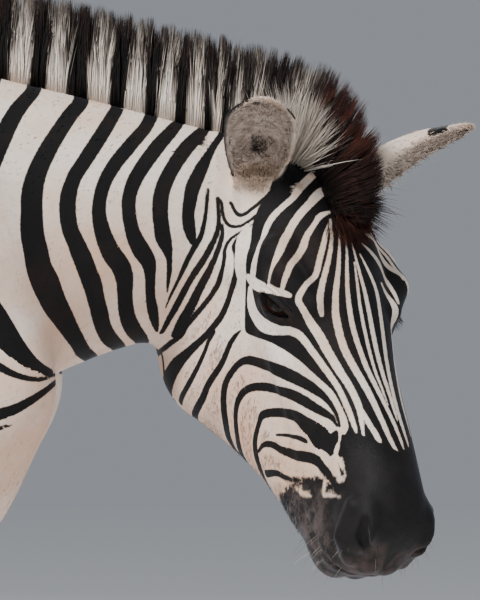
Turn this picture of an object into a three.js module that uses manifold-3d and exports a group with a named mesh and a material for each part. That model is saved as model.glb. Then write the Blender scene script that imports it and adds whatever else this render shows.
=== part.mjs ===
// A plains zebra at life size, standing square with its neck level and its head hanging
// and turned to its right. Millimetres, +X forwards, +Y to the animal's left, +Z up.
//
// The flesh is a set of smooth fields: negative inside, zero on the coat's tips and about
// the distance outside. Each part is lofted through rings of points cast onto its field.
import * as THREE from "three";
import { mergeVertices } from "three/addons/utils/BufferGeometryUtils.js";
import Module from "manifold-3d";

const wasm = await Module();
wasm.setup();

// ---------------------------------------------------------------- driving dimensions
const GAP = 0.4; // between neighbouring parts
const COLLAR = 40; // how far a root spreads over the part it grows from
const NECK_START = 205; // the plane between trunk and neck
const KNEE = 425; // height of the cut through the knee
const HOCK = 548; // height of the cut through the hock
const CORONET = { height: 60, slope: 0.42 }; // where pastern meets hoof, under its middle
const HOOF = { length: 98, width: 88, lead: 31 }; // the sole, and how far it leads the coronet
const EYE = { u: 165, n: -53, l: 69, radius: 21.5, long: 18, tall: 12.5, slant: 0.55 };
const EAR = { u: 24, n: -58, l: 66, length: 190, thick: 9 };
const MANE = { root: 26, waist: 23, edge: 11, height: 112, withers: 62, sunk: 16 };
const DOCK = { radius: 31, end: 19 };
const TUFT = { radius: 43, tip: 9 };

const POLL = new THREE.Vector3(549, -20, 1124); // top of the head, between the ears
const HEAD_TURN = THREE.MathUtils.degToRad(64); // to the right
const HEAD_DROP = THREE.MathUtils.degToRad(58); // below the horizon
const HEAD_ROLL = THREE.MathUtils.degToRad(-12);

// How far each foot stands ahead of a square stance.
const STEP = { fore: { left: 46, right: -30 }, hind: { left: -48, right: 36 } };

// Trunk and neck: x, top, bottom, half-width.
const TRUNK = [
  [-1190, 1120, 990, 60],
  [-1150, 1190, 890, 130],
  [-1050, 1256, 800, 192],
  [-900, 1290, 720, 226],
  [-760, 1286, 668, 248],
  [-600, 1266, 644, 264],
  [-400, 1254, 642, 266],
  [-200, 1268, 656, 244],
  [-40, 1296, 678, 212],
  [60, 1268, 700, 182],
  [130, 1242, 760, 156],
  [200, 1224, 848, 127],
  [270, 1208, 886, 103],
  [350, 1188, 911, 84],
  [430, 1168, 930, 72],
  [510, 1148, 958, 62],
  [580, 1112, 1000, 46],
];

// Head: distance from the poll down the face, then forehead, jaw and half-width, the
// first two measured from a straight line down the face.
const HEAD = [
  [-40, -34, -150, 46],
  [20, -2, -219, 72],
  [70, 11, -284, 88],
  [115, 14, -308, 92],
  [160, 12, -306, 88],
  [205, 8, -289, 77],
  [255, 4, -257, 65],
  [300, 3, -230, 58],
  [350, 2, -207, 54],
  [400, -2, -188, 53],
  [438, -8, -171, 53],
  [468, -22, -152, 50],
  [484, -44, -132, 39],
  [494, -74, -106, 14],
];

// ---------------------------------------------------------------- fields
const mix = (a, b, t) => a + (b - a) * t;
const clamp = (x, lo = 0, hi = 1) => Math.min(Math.max(x, lo), hi);
const ease = (t) => clamp(t) ** 2 * (3 - 2 * clamp(t));
const join = (a, b, k) => {
  const h = clamp(0.5 + (0.5 * (b - a)) / k);
  return mix(b, a, h) - k * h * (1 - h);
};
const meet = (a, b, k) => -join(-a, -b, k);

// A smooth curve through column `c` of a table, level beyond its ends.
function curve(x, table, c) {
  const last = table.length - 1;
  x = clamp(x, table[0][0], table[last][0]);
  let i = 0;
  while (i < last - 1 && x > table[i + 1][0]) i++;
  const slope = (j) => {
    const a = table[Math.max(j - 1, 0)], b = table[Math.min(j + 1, last)];
    return (b[c] - a[c]) / (b[0] - a[0]);
  };
  const h = table[i + 1][0] - table[i][0], t = (x - table[i][0]) / h;
  return (2 * t ** 3 - 3 * t ** 2 + 1) * table[i][c] + (t ** 3 - 2 * t ** 2 + t) * h * slope(i)
    + (3 * t ** 2 - 2 * t ** 3) * table[i + 1][c] + (t ** 3 - t ** 2) * h * slope(i + 1);
}

// An egg-shaped section `y` wide of `w` and `v` high of `up` and `down`.
function egg(y, v, w, up, down, powerUp, powerDown) {
  const p = v > 0 ? powerUp : powerDown;
  const r = Math.hypot(y, v) + 1e-6;
  const s = (Math.abs(y / w) ** p + Math.abs(v / (v > 0 ? up : down)) ** p) ** (1 / p);
  return r - r / Math.max(s, 1e-6);
}

function ball(p, c, r) {
  const k0 = Math.hypot((p[0] - c[0]) / r[0], (p[1] - c[1]) / r[1], (p[2] - c[2]) / r[2]);
  const k1 = Math.hypot((p[0] - c[0]) / r[0] ** 2, (p[1] - c[1]) / r[1] ** 2, (p[2] - c[2]) / r[2] ** 2);
  return (k0 * (k0 - 1)) / (k1 + 1e-9);
}

// A cone with round ends, narrowed sideways (along its second axis) by `flat`.
function bone(p, a, b, ra, rb, flat = 1) {
  const ba = [b[0] - a[0], (b[1] - a[1]) / flat, b[2] - a[2]];
  const pa = [p[0] - a[0], (p[1] - a[1]) / flat, p[2] - a[2]];
  const l2 = ba[0] ** 2 + ba[1] ** 2 + ba[2] ** 2, rr = ra - rb, a2 = l2 - rr * rr;
  const y = pa[0] * ba[0] + pa[1] * ba[1] + pa[2] * ba[2], z = y - l2;
  const x2 = (pa[0] * l2 - y * ba[0]) ** 2 + (pa[1] * l2 - y * ba[1]) ** 2 + (pa[2] * l2 - y * ba[2]) ** 2;
  const y2 = y * y * l2, z2 = z * z * l2, k = Math.sign(rr) * rr * rr * x2;
  let d = (Math.sqrt((x2 * a2) / l2) + y * rr) / l2 - ra;
  if (Math.sign(y) * a2 * y2 < k) d = Math.sqrt(x2 + y2) / l2 - ra;
  if (Math.sign(z) * a2 * z2 > k) d = Math.sqrt(x2 + z2) / l2 - rb;
  return d * Math.sqrt(flat);
}

// The face's own directions: u down the face, n out of the forehead, l to the left.
const face = new THREE.Matrix4().makeRotationZ(-HEAD_TURN)
  .multiply(new THREE.Matrix4().makeRotationY(HEAD_DROP))
  .multiply(new THREE.Matrix4().makeRotationX(HEAD_ROLL)).setPosition(POLL);
const unface = face.clone().invert();
const fromHead = (u, n, l) => new THREE.Vector3(u, l, n).applyMatrix4(face);
const toHead = (p) => {
  const q = new THREE.Vector3(...p).applyMatrix4(unface);
  return [q.x, q.z, q.y];
};

function head(p) {
  const [u, n, side] = toHead(p), l = Math.abs(side), q = [u, n, l];
  const top = curve(u, HEAD, 1), low = curve(u, HEAD, 2), w = curve(u, HEAD, 3);
  const mid = mix(top, low, 0.36);
  let d = egg(l, n - mid, w, top - mid, mid - low, 2.4, 3.1);
  d = meet(d, Math.max(u - 494, -40 - u), 20);
  d = join(d, bone(q, [112, -34, 74], [146, -24, 80], 20, 17), 20); // brow, over the eye
  d = join(d, bone(q, [146, -24, 80], [186, -16, 58], 17, 15), 18);
  d = join(d, ball(q, [164, -55, 68], [40, 32, 26]), 20); // lids
  d = join(d, bone(q, [112, -36, 76], [96, -96, 84], 16, 15), 24); // cheekbone
  d = join(d, ball(q, [122, -212, 55], [96, 98, 40]), 26); // jowl
  d = join(d, bone(q, [190, -88, 66], [316, -88, 44], 15, 9), 22); // crest of the cheek
  d = join(d, ball(q, [452, -58, 42], [38, 34, 18]), 16); // nostril
  d = join(d, bone(q, [452, -112, 26], [478, -92, 14], 26, 22), 16); // upper lip
  return join(d, ball(q, [440, -146, 14], [38, 27, 30]), 12); // chin
}

// The neck twists with the head: its throat is carried left of its crest.
const neckSide = (x, z) => ease((x - 230) / 260) * (30 - 0.2 * (z - 1050));

function trunk(p) {
  const [x, y, z] = p;
  const top = curve(x, TRUNK, 1), low = curve(x, TRUNK, 2), w = curve(x, TRUNK, 3);
  const mid = mix(low, top, 0.46);
  const d = egg(y - neckSide(x, z), z - mid, w, top - mid, mid - low, 1.9, 2.1);
  const q = [x, Math.abs(y), z];
  return join(meet(d, Math.max(x - 580, -1190 - x), 40), ball(q, [108, 62, 800], [92, 84, 140]), 30); // breast
}

function foreleg(p) {
  let d = ball(p, [50, 118, 930], [150, 78, 230]); // shoulder
  d = join(d, bone(p, [160, 120, 860], [-30, 140, 800], 80, 84, 0.8), 60); // upper arm
  d = join(d, bone(p, [-84, 122, 800], [-44, 122, 700], 34, 30, 0.8), 40); // elbow
  d = join(d, bone(p, [-20, 135, 780], [30, 113, 480], 82, 39, 0.82), 50); // forearm
  d = join(d, bone(p, [36, 110, 446], [38, 110, 404], 40, 35, 0.95), 22); // knee
  d = join(d, bone(p, [32, 110, 390], [30, 110, 185], 27, 25), 24); // cannon
  d = join(d, bone(p, [14, 110, 380], [14, 110, 190], 17, 17), 14); // tendon
  d = join(d, bone(p, [24, 110, 162], [27, 110, 148], 34, 32), 16); // fetlock
  return join(d, bone(p, [34, 110, 136], [66, 110, 72], 27, 34), 16); // pastern
}

function hindleg(p) {
  let d = ball(p, [-985, 112, 1000], [170, 98, 250]); // thigh
  d = join(d, ball(p, [-880, 130, 830], [120, 76, 130]), 70); // stifle
  d = join(d, bone(p, [-930, 132, 810], [-1050, 120, 590], 92, 40, 0.72), 60); // gaskin
  d = join(d, bone(p, [-1112, 118, 600], [-1082, 118, 500], 19, 30, 0.8), 24); // point of the hock
  d = join(d, bone(p, [-1046, 120, 600], [-1068, 118, 500], 37, 36, 0.84), 26); // hock
  d = join(d, bone(p, [-1070, 118, 480], [-1052, 118, 195], 31, 27), 24); // cannon
  d = join(d, bone(p, [-1092, 118, 480], [-1072, 118, 200], 17, 17), 14); // tendon
  d = join(d, bone(p, [-1056, 118, 166], [-1050, 118, 150], 36, 33), 16); // fetlock
  return join(d, bone(p, [-1042, 118, 138], [-1006, 118, 72], 27, 34), 16); // pastern
}

// A leg's field on one side of the body, its foot set forwards by `step`.
const placed = (leg, side, step) => (p) => leg([p[0] - step * ease((900 - p[2]) / 850), p[1] * side, p[2]]);
// A root spreads smoothly over what it grows from, and sinks into it COLLAR away from its
// own muscles.
const rooted = (own, body, k) => (p) => {
  const d = own(p);
  return meet(join(d, body(p) + 4, k), d - COLLAR, 12);
};

// ---------------------------------------------------------------- lofts
// From the centre out to where the field reaches `level`.
function cast(field, from, along, level) {
  const at = (t) => field([from.x + along.x * t, from.y + along.y * t, from.z + along.z * t]) - level;
  let a = 0, b = 0, d = at(0);
  while (d < 0 && b < 900) {
    a = b;
    b += clamp(-d * 0.7, 1.5, 18);
    d = at(b);
  }
  for (let i = 0; i < 22; i++) {
    const m = (a + b) / 2;
    if (at(m) < 0) a = m;
    else b = m;
  }
  return (a + b) / 2;
}

// Closed skin over rings of equal counts; an end closes on its own middle.
function closed(rings) {
  const count = rings[0].length, points = rings.flat(), index = [];
  const middle = (ring) => ring.reduce((s, p) => s.add(p), new THREE.Vector3()).divideScalar(ring.length);
  points.push(middle(rings[0]), middle(rings[rings.length - 1]));
  const first = points.length - 2, final = points.length - 1;
  for (let j = 0; j < count; j++) {
    const k = (j + 1) % count, tail = (rings.length - 1) * count;
    index.push(first, k, j, final, tail + j, tail + k);
    for (let i = 0; i < rings.length - 1; i++) {
      const a = i * count + j, b = i * count + k, c = a + count, d = b + count;
      index.push(a, b, d, a, d, c);
    }
  }
  const shape = new THREE.BufferGeometry();
  shape.setAttribute("position", new THREE.Float32BufferAttribute(points.flatMap((p) => [p.x, p.y, p.z]), 3));
  shape.setIndex(index);
  return outward(shape);
}

function outward(shape) {
  const p = shape.attributes.position, index = shape.index.array;
  const [a, b, c] = [0, 1, 2].map(() => new THREE.Vector3());
  let volume = 0;
  for (let i = 0; i < index.length; i += 3) {
    [a, b, c].forEach((v, j) => v.fromBufferAttribute(p, index[i + j]));
    volume += a.dot(b.cross(c));
  }
  if (volume < 0) for (let i = 0; i < index.length; i += 3) [index[i], index[i + 1]] = [index[i + 1], index[i]];
  return shape;
}

// A cutter's rings reach past the part's own two ends.
const beyond = (list, level) => list.map((v, i) => v + (i === 0 ? -level : i === list.length - 1 ? level : 0));

// Stations are {at, x, y}: a middle and two directions across the part.
function loft(field, stations, count, level = 0) {
  return closed(stations.map(({ at, x, y }) => Array.from({ length: count }, (_, j) => {
    const angle = (2 * Math.PI * (j + 0.5)) / count;
    const along = x.clone().multiplyScalar(Math.cos(angle)).addScaledVector(y, Math.sin(angle)).normalize();
    return along.clone().multiplyScalar(cast(field, at, along, level)).add(at);
  })));
}

const V = (x, y, z) => new THREE.Vector3(x, y, z);

// ---------------------------------------------------------------- joins and cuts
const solid = (shape) => {
  const bare = new THREE.BufferGeometry();
  bare.setAttribute("position", shape.attributes.position);
  bare.setIndex(shape.index);
  const one = mergeVertices(bare, 1e-3);
  return new wasm.Manifold(new wasm.Mesh({
    numProp: 3,
    vertProperties: new Float32Array(one.attributes.position.array),
    triVerts: new Uint32Array(one.index.array),
  }));
};

// The largest piece left after cutting `tools` from `shape`.
function cut(shape, ...tools) {
  let m = solid(shape);
  for (const tool of tools) m = m.subtract(solid(tool));
  const mesh = m.getMesh(), tri = mesh.triVerts, total = mesh.vertProperties.length / 3;
  const root = Array.from({ length: total }, (_, i) => i);
  const find = (i) => {
    while (root[i] !== i) i = root[i] = root[root[i]];
    return i;
  };
  for (let i = 0; i < tri.length; i += 3) {
    root[find(tri[i])] = find(tri[i + 1]);
    root[find(tri[i + 1])] = find(tri[i + 2]);
  }
  const size = new Map();
  for (const i of tri) size.set(find(i), (size.get(find(i)) || 0) + 1);
  const best = [...size].sort((a, b) => b[1] - a[1])[0][0];
  const out = new THREE.BufferGeometry();
  out.setAttribute("position", new THREE.Float32BufferAttribute(mesh.vertProperties, 3));
  out.setIndex(Array.from(tri).filter((_, i) => find(tri[i - (i % 3)]) === best));
  return mergeVertices(out, 1e-3);
}

// ---------------------------------------------------------------- the animal
const parts = [];
const MATERIALS = {
  coat: new THREE.MeshStandardMaterial({ name: "coat", color: new THREE.Color(0.3, 0.25, 0.21), roughness: 0.85, metalness: 0 }),
  mane: new THREE.MeshStandardMaterial({ name: "mane", color: new THREE.Color(0.12, 0.075, 0.055), roughness: 0.8, metalness: 0 }),
  horn: new THREE.MeshStandardMaterial({ name: "horn", color: new THREE.Color(0.05, 0.042, 0.038), roughness: 0.55, metalness: 0 }),
  eye: new THREE.MeshStandardMaterial({ name: "eye", color: new THREE.Color(0.02, 0.013, 0.01), roughness: 0.08, metalness: 0 }),
};
const add = (name, shape, material) => parts.push({ name, shape, material });

// Trunk: stations square to the spine.
const spine = (x) => {
  const z = mix(curve(x, TRUNK, 2), curve(x, TRUNK, 1), 0.46);
  return { at: V(x, neckSide(x, z), z), x: V(0, 1, 0), y: V(0, 0, 1) };
};
const steps = (from, to, count) => Array.from({ length: count + 1 }, (_, i) => mix(from, to, i / count));
const trunkRings = [-1188, -1182, -1168, ...steps(-1145, NECK_START - 40, 16), NECK_START];
const trunkShape = (level) => loft(trunk, beyond(trunkRings, level).map(spine), 26, level);
add("trunk", trunkShape(0), "coat");

// Head: stations square to the face.
const faceAxis = (u, n, l) => fromHead(u, n, l).sub(POLL);
const faceStation = (u) => ({
  at: fromHead(u, mix(curve(u, HEAD, 1), curve(u, HEAD, 2), 0.4), 0),
  x: faceAxis(0, 0, 1),
  y: faceAxis(0, 1, 0),
});
const faceRings = [-38, -28, -5, ...steps(20, 215, 9), ...steps(245, 415, 5), 440, 458, 474, 487, 496];
const headShape = (level) => loft(head, beyond(faceRings, level).map(faceStation), 26, level);

// The eyeball, and the opening between its lids.
const eyeBall = (side, extra) => {
  const shape = mergeVertices(new THREE.SphereGeometry(EYE.radius + extra, 12, 8).deleteAttribute("normal").deleteAttribute("uv"), 1e-3);
  return shape.translate(...fromHead(EYE.u, EYE.n, EYE.l * side).toArray());
};
const opening = (side) => closed([4, 60].map((out) => Array.from({ length: 10 }, (_, j) => {
  const a = (2 * Math.PI * j) / 10, grow = 1 + out / 150;
  const along = EYE.long * grow * Math.cos(a), across = EYE.tall * grow * Math.sin(a);
  const [c, s] = [Math.cos(EYE.slant), Math.sin(EYE.slant)];
  return fromHead(EYE.u + along * c - across * s, EYE.n + along * s + across * c, (EYE.l + out) * side);
})));
add("head", cut(headShape(0), ...[1, -1].flatMap((side) => [eyeBall(side, GAP), opening(side)])), "coat");
for (const [side, word] of [[1, "left"], [-1, "right"]]) add(`eye_${word}`, eyeBall(side, 0), "eye");

// Neck: spreads over the back of the head.
const neckRings = [NECK_START + GAP, ...steps(245, 545, 8), 562, 574];
const neckShape = (level) => loft(rooted(trunk, head, 50), beyond(neckRings, level).map(spine), 22, level);
add("neck", cut(neckShape(0), headShape(2 * GAP)), "coat");

// Ears: cups that open down the face, closed to a stalk at the root.
const EAR_WIDTH = [[0, 24], [0.15, 28], [0.3, 36.5], [0.45, 42], [0.6, 43.5], [0.74, 42], [0.87, 31], [0.95, 18], [1, 6]];
const EAR_DEPTH = [[0, 22], [0.2, 26], [0.4, 28], [0.6, 22], [0.8, 14], [1, 5]];
const EAR_HOLLOW = [[0, -1], [0.16, -0.9], [0.3, 0.75], [0.5, 1], [0.85, 0.9], [1, -0.2]];
const earShape = (side) => {
  const root = fromHead(EAR.u, EAR.n, EAR.l * side);
  const out = faceAxis(-0.18, 0.86, 0.48 * side).normalize();
  const front = faceAxis(0.944, 0.01, 0.33 * side);
  front.addScaledVector(out, -front.dot(out)).normalize();
  const across = out.clone().cross(front).multiplyScalar(side);
  const ring = (t) => {
    const w = curve(t, EAR_WIDTH, 1), h = curve(t, EAR_DEPTH, 1), hollow = curve(t, EAR_HOLLOW, 1);
    const mid = root.clone().addScaledVector(out, t * EAR.length).addScaledVector(front, -14 * Math.sin(Math.PI * t));
    const put = (a, b) => mid.clone().addScaledVector(across, a).addScaledVector(front, b);
    const back = steps(-100, 100, 8).map((d) => THREE.MathUtils.degToRad(d)).map((a) => put(w * Math.sin(a), -h * Math.cos(a)));
    const thick = Math.min(EAR.thick, w * 0.4);
    const inner = steps(82, -82, 5).map((d) => THREE.MathUtils.degToRad(d))
      .map((a) => put((w - thick) * Math.sin(a), 0.12 * h - Math.max(h - thick + 0.12 * h, 2) * hollow * Math.cos(a)));
    return [...back, ...inner];
  };
  return closed([0, 0.12, 0.22, 0.32, 0.42, 0.54, 0.66, 0.76, 0.85, 0.92, 0.97, 1].map(ring));
};
for (const [side, word] of [[1, "left"], [-1, "right"]]) add(`ear_${word}`, cut(earShape(side), headShape(2 * GAP), neckShape(2 * GAP)), "coat");

// Mane: an upright brush from the withers to the forelock. A spoke is its root, then
// which way its hair points, then its length.
const crest = (x, lean, tall) => {
  const z = curve(x, TRUNK, 1);
  return [V(x, neckSide(x, z), z), V(lean, 0, 1), tall];
};
const brow = (u, n, l, du, dn, tall) => [fromHead(u, n, l), faceAxis(du, dn, 0), tall];
const SPOKES = [
  crest(-150, -0.6, 16),
  crest(-105, -0.35, MANE.withers * 0.62),
  ...steps(-50, 130, 4).map((x, i) => crest(x, -0.12 + 0.04 * i, mix(MANE.withers, MANE.height, i / 4))),
  ...steps(175, 445, 6).map((x) => crest(x, 0.06, MANE.height)),
  [V(490, 8, 1153), V(0.2, -0.06, 1), MANE.height],
  [V(525, -1, 1140), V(0.34, -0.24, 0.9), MANE.height + 2],
  brow(0, 2, -4, -0.32, 1, 112),
  brow(22, 4, 0, -0.08, 1, 108),
  brow(46, 8, 0, 0.12, 1, 104),
  brow(66, 11, 0, 0.36, 1, 92),
  brow(80, 13, 0, 0.75, 1, 62),
];
const maneShape = closed(SPOKES.map(([root, way, tall], i) => {
  const along = way.clone().normalize();
  const next = SPOKES[Math.min(i + 1, SPOKES.length - 1)][0], last = SPOKES[Math.max(i - 1, 0)][0];
  const across = next.clone().sub(last).cross(along).normalize();
  const end = i === 0 || i === SPOKES.length - 1 ? 0.6 : 1;
  const put = (side, up) => root.clone().addScaledVector(along, up).addScaledVector(across, side * end);
  return [[MANE.root, -MANE.sunk], [MANE.root, 12], [MANE.waist, tall * 0.55], [MANE.edge, tall * 0.94], [0, tall]]
    .map(([w, h]) => put(w, h))
    .concat([[MANE.edge, tall * 0.94], [MANE.waist, tall * 0.55], [MANE.root, 12], [MANE.root, -MANE.sunk]].map(([w, h]) => put(-w, h)));
}));
add("mane", cut(maneShape, trunkShape(2 * GAP), neckShape(2 * GAP), headShape(2 * GAP)), "mane");

// Legs: stations level with the floor, the last of a foreleg or hindleg on the coronet.
const MIDLINE = {
  fore: [[60, 64, 110], [72, 64, 110], [136, 35, 110], [160, 27, 110], [400, 30, 110], [480, 30, 113], [600, 12, 121], [700, -6, 129], [800, -10, 135], [870, 34, 124], [1160, 50, 112]],
  hind: [[60, -1008, 118], [72, -1008, 118], [138, -1040, 118], [160, -1055, 118], [480, -1074, 118], [560, -1072, 119], [620, -1046, 120], [720, -985, 126], [800, -940, 130], [880, -940, 122], [1000, -985, 112], [1230, -990, 104]],
};
const LEGS = {
  fore: { field: foreleg, cutAt: KNEE, high: [1150, 1120, 1070, 1000, 930, 870, 815, 765, 710, 650, 590, 530, 480, 450], low: [400, 376, 330, 260, 195, 170, 152, 132, 100], around: 17 },
  hind: { field: hindleg, cutAt: HOCK, high: [1225, 1185, 1120, 1040, 960, 890, 825, 765, 710, 665, 628, 602, 576], low: [520, 490, 455, 390, 290, 205, 176, 156, 136, 102], around: 17 },
};
for (const end of ["fore", "hind"]) {
  for (const [side, word] of [[1, "left"], [-1, "right"]]) {
    const { field, cutAt, high, low, around } = LEGS[end], step = STEP[end][word];
    const own = placed(field, side, step), line = MIDLINE[end];
    const shift = (z) => step * ease((900 - z) / 850);
    const level = (z) => ({ at: V(curve(z, line, 1) + shift(z), side * curve(z, line, 2), z), x: V(1, 0, 0), y: V(0, 1, 0) });
    const coronet = { ...level(CORONET.height + GAP), x: V(1, 0, CORONET.slope).normalize() };
    const upper = loft(rooted(own, trunk, 70), [...high, cutAt + GAP / 2].map(level), around);
    add(`${end}leg_${word}_upper`, cut(upper, trunkShape(2 * GAP), neckShape(2 * GAP)), "coat");
    add(`${end}leg_${word}_lower`, loft(own, [...[cutAt - GAP / 2, ...low].map(level), coronet], 13), "coat");

    const top = coronet.at, wall = [0, 0.05, 0.5, 1];
    add(`hoof_${end}_${word}`, closed(wall.map((s) => Array.from({ length: 16 }, (_, j) => {
      const a = (2 * Math.PI * j) / 16, bevel = s === 0 ? 0.975 : 1;
      const x = mix(HOOF.lead, 0, s) + mix(HOOF.length / 2, 35, s) * bevel * Math.cos(a) * (Math.cos(a) < 0 ? 0.92 : 1);
      const y = mix(HOOF.width / 2, 34, s) * bevel * Math.sin(a);
      return V(top.x + x, top.y + y, s * (CORONET.height + CORONET.slope * (x - mix(HOOF.lead, 0, s))));
    }))), "horn");
  }
}

// Tail: a round dock that hangs from the rump, and the tuft below it.
const tube = (path, radii, across, count) => closed(path.map(([x, z], i) => {
  const a = path[Math.max(i - 1, 0)], b = path[Math.min(i + 1, path.length - 1)];
  const along = V(b[0] - a[0], 0, b[1] - a[1]).normalize(), side = V(along.z, 0, -along.x);
  return Array.from({ length: count }, (_, j) => {
    const t = (2 * Math.PI * j) / count;
    return V(x, 0, z).addScaledVector(side, radii[i] * Math.sin(t)).add(V(0, radii[i] * across * Math.cos(t), 0));
  });
}));
const dock = [[-1150, 1172], [-1186, 1150], [-1214, 1112], [-1230, 1060], [-1238, 990], [-1236, 910], [-1228, 820], [-1228, 760]];
add("tail", cut(tube(dock, dock.map((_, i) => mix(DOCK.radius, DOCK.end, i / (dock.length - 1))), 1, 14), trunkShape(2 * GAP)), "coat");
const hang = [[-1228, 760 - GAP], [-1228, 725], [-1218, 670], [-1210, 600], [-1206, 530], [-1204, 470], [-1203, 420], [-1202, 385]];
const swell = [DOCK.end + 6, 33, 40, TUFT.radius, 40, 30, 18, TUFT.tip];
add("tail_tuft", tube(hang, swell, 0.85, 14), "mane");

const zebra = new THREE.Group();
zebra.name = "zebra";
for (const { name, shape, material } of parts) {
  shape.computeVertexNormals();
  const mesh = new THREE.Mesh(shape, MATERIALS[material]);
  mesh.name = name;
  zebra.add(mesh);
}
// The origin is the bottom centre of the whole.
const box = new THREE.Box3().setFromObject(zebra);
const shift = V(-(box.min.x + box.max.x) / 2, -(box.min.y + box.max.y) / 2, -box.min.z);
for (const mesh of zebra.children) mesh.geometry.translate(shift.x, shift.y, shift.z);

export default zebra;
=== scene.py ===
# A plains zebra at life size: one skin over the whole body with its stripes, eyes, hooves,
# and hair where it stands out. Shapes are worked out in millimetres with the chest near x = 0,
# +X forwards, +Y to the animal's left, and moved into the frame, in metres, when they are made.
import math
import bpy
import bmesh
import numpy as np
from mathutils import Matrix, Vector, kdtree


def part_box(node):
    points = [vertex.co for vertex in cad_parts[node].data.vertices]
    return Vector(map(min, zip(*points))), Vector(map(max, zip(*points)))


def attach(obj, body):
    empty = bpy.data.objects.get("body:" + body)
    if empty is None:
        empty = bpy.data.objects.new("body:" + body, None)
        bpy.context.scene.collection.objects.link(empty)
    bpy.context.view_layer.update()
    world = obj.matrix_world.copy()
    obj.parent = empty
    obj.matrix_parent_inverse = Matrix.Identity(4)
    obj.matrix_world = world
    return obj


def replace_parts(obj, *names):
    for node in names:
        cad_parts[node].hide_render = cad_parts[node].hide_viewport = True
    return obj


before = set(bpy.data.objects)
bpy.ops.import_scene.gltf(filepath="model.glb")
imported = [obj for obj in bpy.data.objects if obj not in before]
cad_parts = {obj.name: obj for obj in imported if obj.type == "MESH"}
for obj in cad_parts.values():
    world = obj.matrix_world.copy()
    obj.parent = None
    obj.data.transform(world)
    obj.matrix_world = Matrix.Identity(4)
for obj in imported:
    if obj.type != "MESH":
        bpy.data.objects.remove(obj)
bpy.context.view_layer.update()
rng = np.random.default_rng(7)

# ------------------------------------------------------------------ the animal's own sizes
POLL = np.array([549.0, -20.0, 1124.0])
TURN, DROP, ROLL = np.radians([64.0, 58.0, -12.0])
EYE = dict(u=165.0, n=-53.0, l=69.0, r=21.5)
STEP = dict(fore=(46.0, -30.0), hind=(-48.0, 36.0))   # how far each foot is set forwards: left, right
HOOF_SLOPE = 0.42   # the fall of a hoof's upper edge, from toe to heel
SEAM = 330.0        # where the fine mesh of neck and head takes over from the body's
FACE_FROM = SEAM + 60   # the face's own markings start here
MM = 1000           # millimetres to the frame's metre
TRUNK = np.array([  # x, top, bottom, half-width
    [-1190, 1120, 990, 60], [-1150, 1190, 890, 130], [-1050, 1256, 800, 192], [-900, 1290, 720, 226],
    [-760, 1286, 668, 248], [-600, 1266, 644, 264], [-400, 1254, 642, 266], [-200, 1268, 656, 244],
    [-40, 1296, 678, 212], [60, 1268, 700, 182], [130, 1242, 760, 156], [200, 1224, 848, 127],
    [270, 1208, 886, 103], [350, 1188, 911, 84], [430, 1168, 930, 72], [510, 1148, 958, 62],
    [580, 1112, 1000, 46]], float)
HEAD = np.array([  # u down the face, forehead, jaw, half-width
    [-40, -34, -150, 46], [20, -2, -219, 72], [70, 11, -284, 88], [115, 14, -308, 92], [160, 12, -306, 88],
    [205, 8, -289, 77], [255, 4, -257, 65], [300, 3, -230, 58], [350, 2, -207, 54], [400, -2, -188, 53],
    [438, -8, -171, 53], [468, -22, -152, 50], [484, -44, -132, 39], [494, -74, -106, 14]], float)
COAT_FACE, COAT_BODY = 3.0, 4.5   # how far the hair's tips stand off the skin


def turned(axis, a):
    c, s = math.cos(a), math.sin(a)
    return np.array({"z": [[c, -s, 0], [s, c, 0], [0, 0, 1]], "y": [[c, 0, s], [0, 1, 0], [-s, 0, c]],
                     "x": [[1, 0, 0], [0, c, -s], [0, s, c]]}[axis])


FACE = turned("z", -TURN) @ turned("y", DROP) @ turned("x", ROLL)
to_face = lambda p: ((p - POLL) @ FACE)[..., [0, 2, 1]]                      # u, n, l
from_face = lambda q: POLL + np.asarray(q, float)[..., [0, 2, 1]] @ FACE.T
face_way = lambda q: np.asarray(q, float)[..., [0, 2, 1]] @ FACE.T
low, high = (np.array(v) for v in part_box("eye_right"))
SHIFT = (low + high) / 2 * MM - from_face([EYE["u"], EYE["n"], -EYE["l"]])      # to the frame's own origin
in_frame = lambda p: (p + SHIFT) / MM

# ------------------------------------------------------------------ fields, as the solids have them
ease = lambda t: np.clip(t, 0, 1) ** 2 * (3 - 2 * np.clip(t, 0, 1))


def join(a, b, k):
    """Both forms as one, with a fillet of about k where they meet."""
    h = np.clip(0.5 + 0.5 * (b - a) / k, 0, 1)
    return b + (a - b) * h - k * h * (1 - h)


def meet(a, b, k):
    """What lies in both forms, with edges rounded by about k."""
    return -join(-a, -b, k)


def curve(x, table, c):
    """Column c of a table as a smooth function of its first column."""
    xs, ys = table[:, 0], table[:, c]
    x = np.clip(x, xs[0], xs[-1])
    i = np.clip(np.searchsorted(xs, x) - 1, 0, len(xs) - 2)
    m = np.empty(len(xs))
    m[1:-1] = (ys[2:] - ys[:-2]) / (xs[2:] - xs[:-2])
    m[0], m[-1] = (ys[1] - ys[0]) / (xs[1] - xs[0]), (ys[-1] - ys[-2]) / (xs[-1] - xs[-2])
    h = xs[i + 1] - xs[i]
    t = (x - xs[i]) / h
    return ((2 * t ** 3 - 3 * t ** 2 + 1) * ys[i] + (t ** 3 - 2 * t ** 2 + t) * h * m[i]
            + (3 * t ** 2 - 2 * t ** 3) * ys[i + 1] + (t ** 3 - t ** 2) * h * m[i + 1])


def egg(y, v, w, up, down, power_up, power_down):
    """A rounded cross-section, w wide to each side, with halves of different height and fullness."""
    p = np.where(v > 0, power_up, power_down)
    r = np.hypot(y, v) + 1e-6
    s = (np.abs(y / w) ** p + np.abs(v / np.where(v > 0, up, down)) ** p) ** (1 / p)
    return r - r / np.maximum(s, 1e-6)


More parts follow.
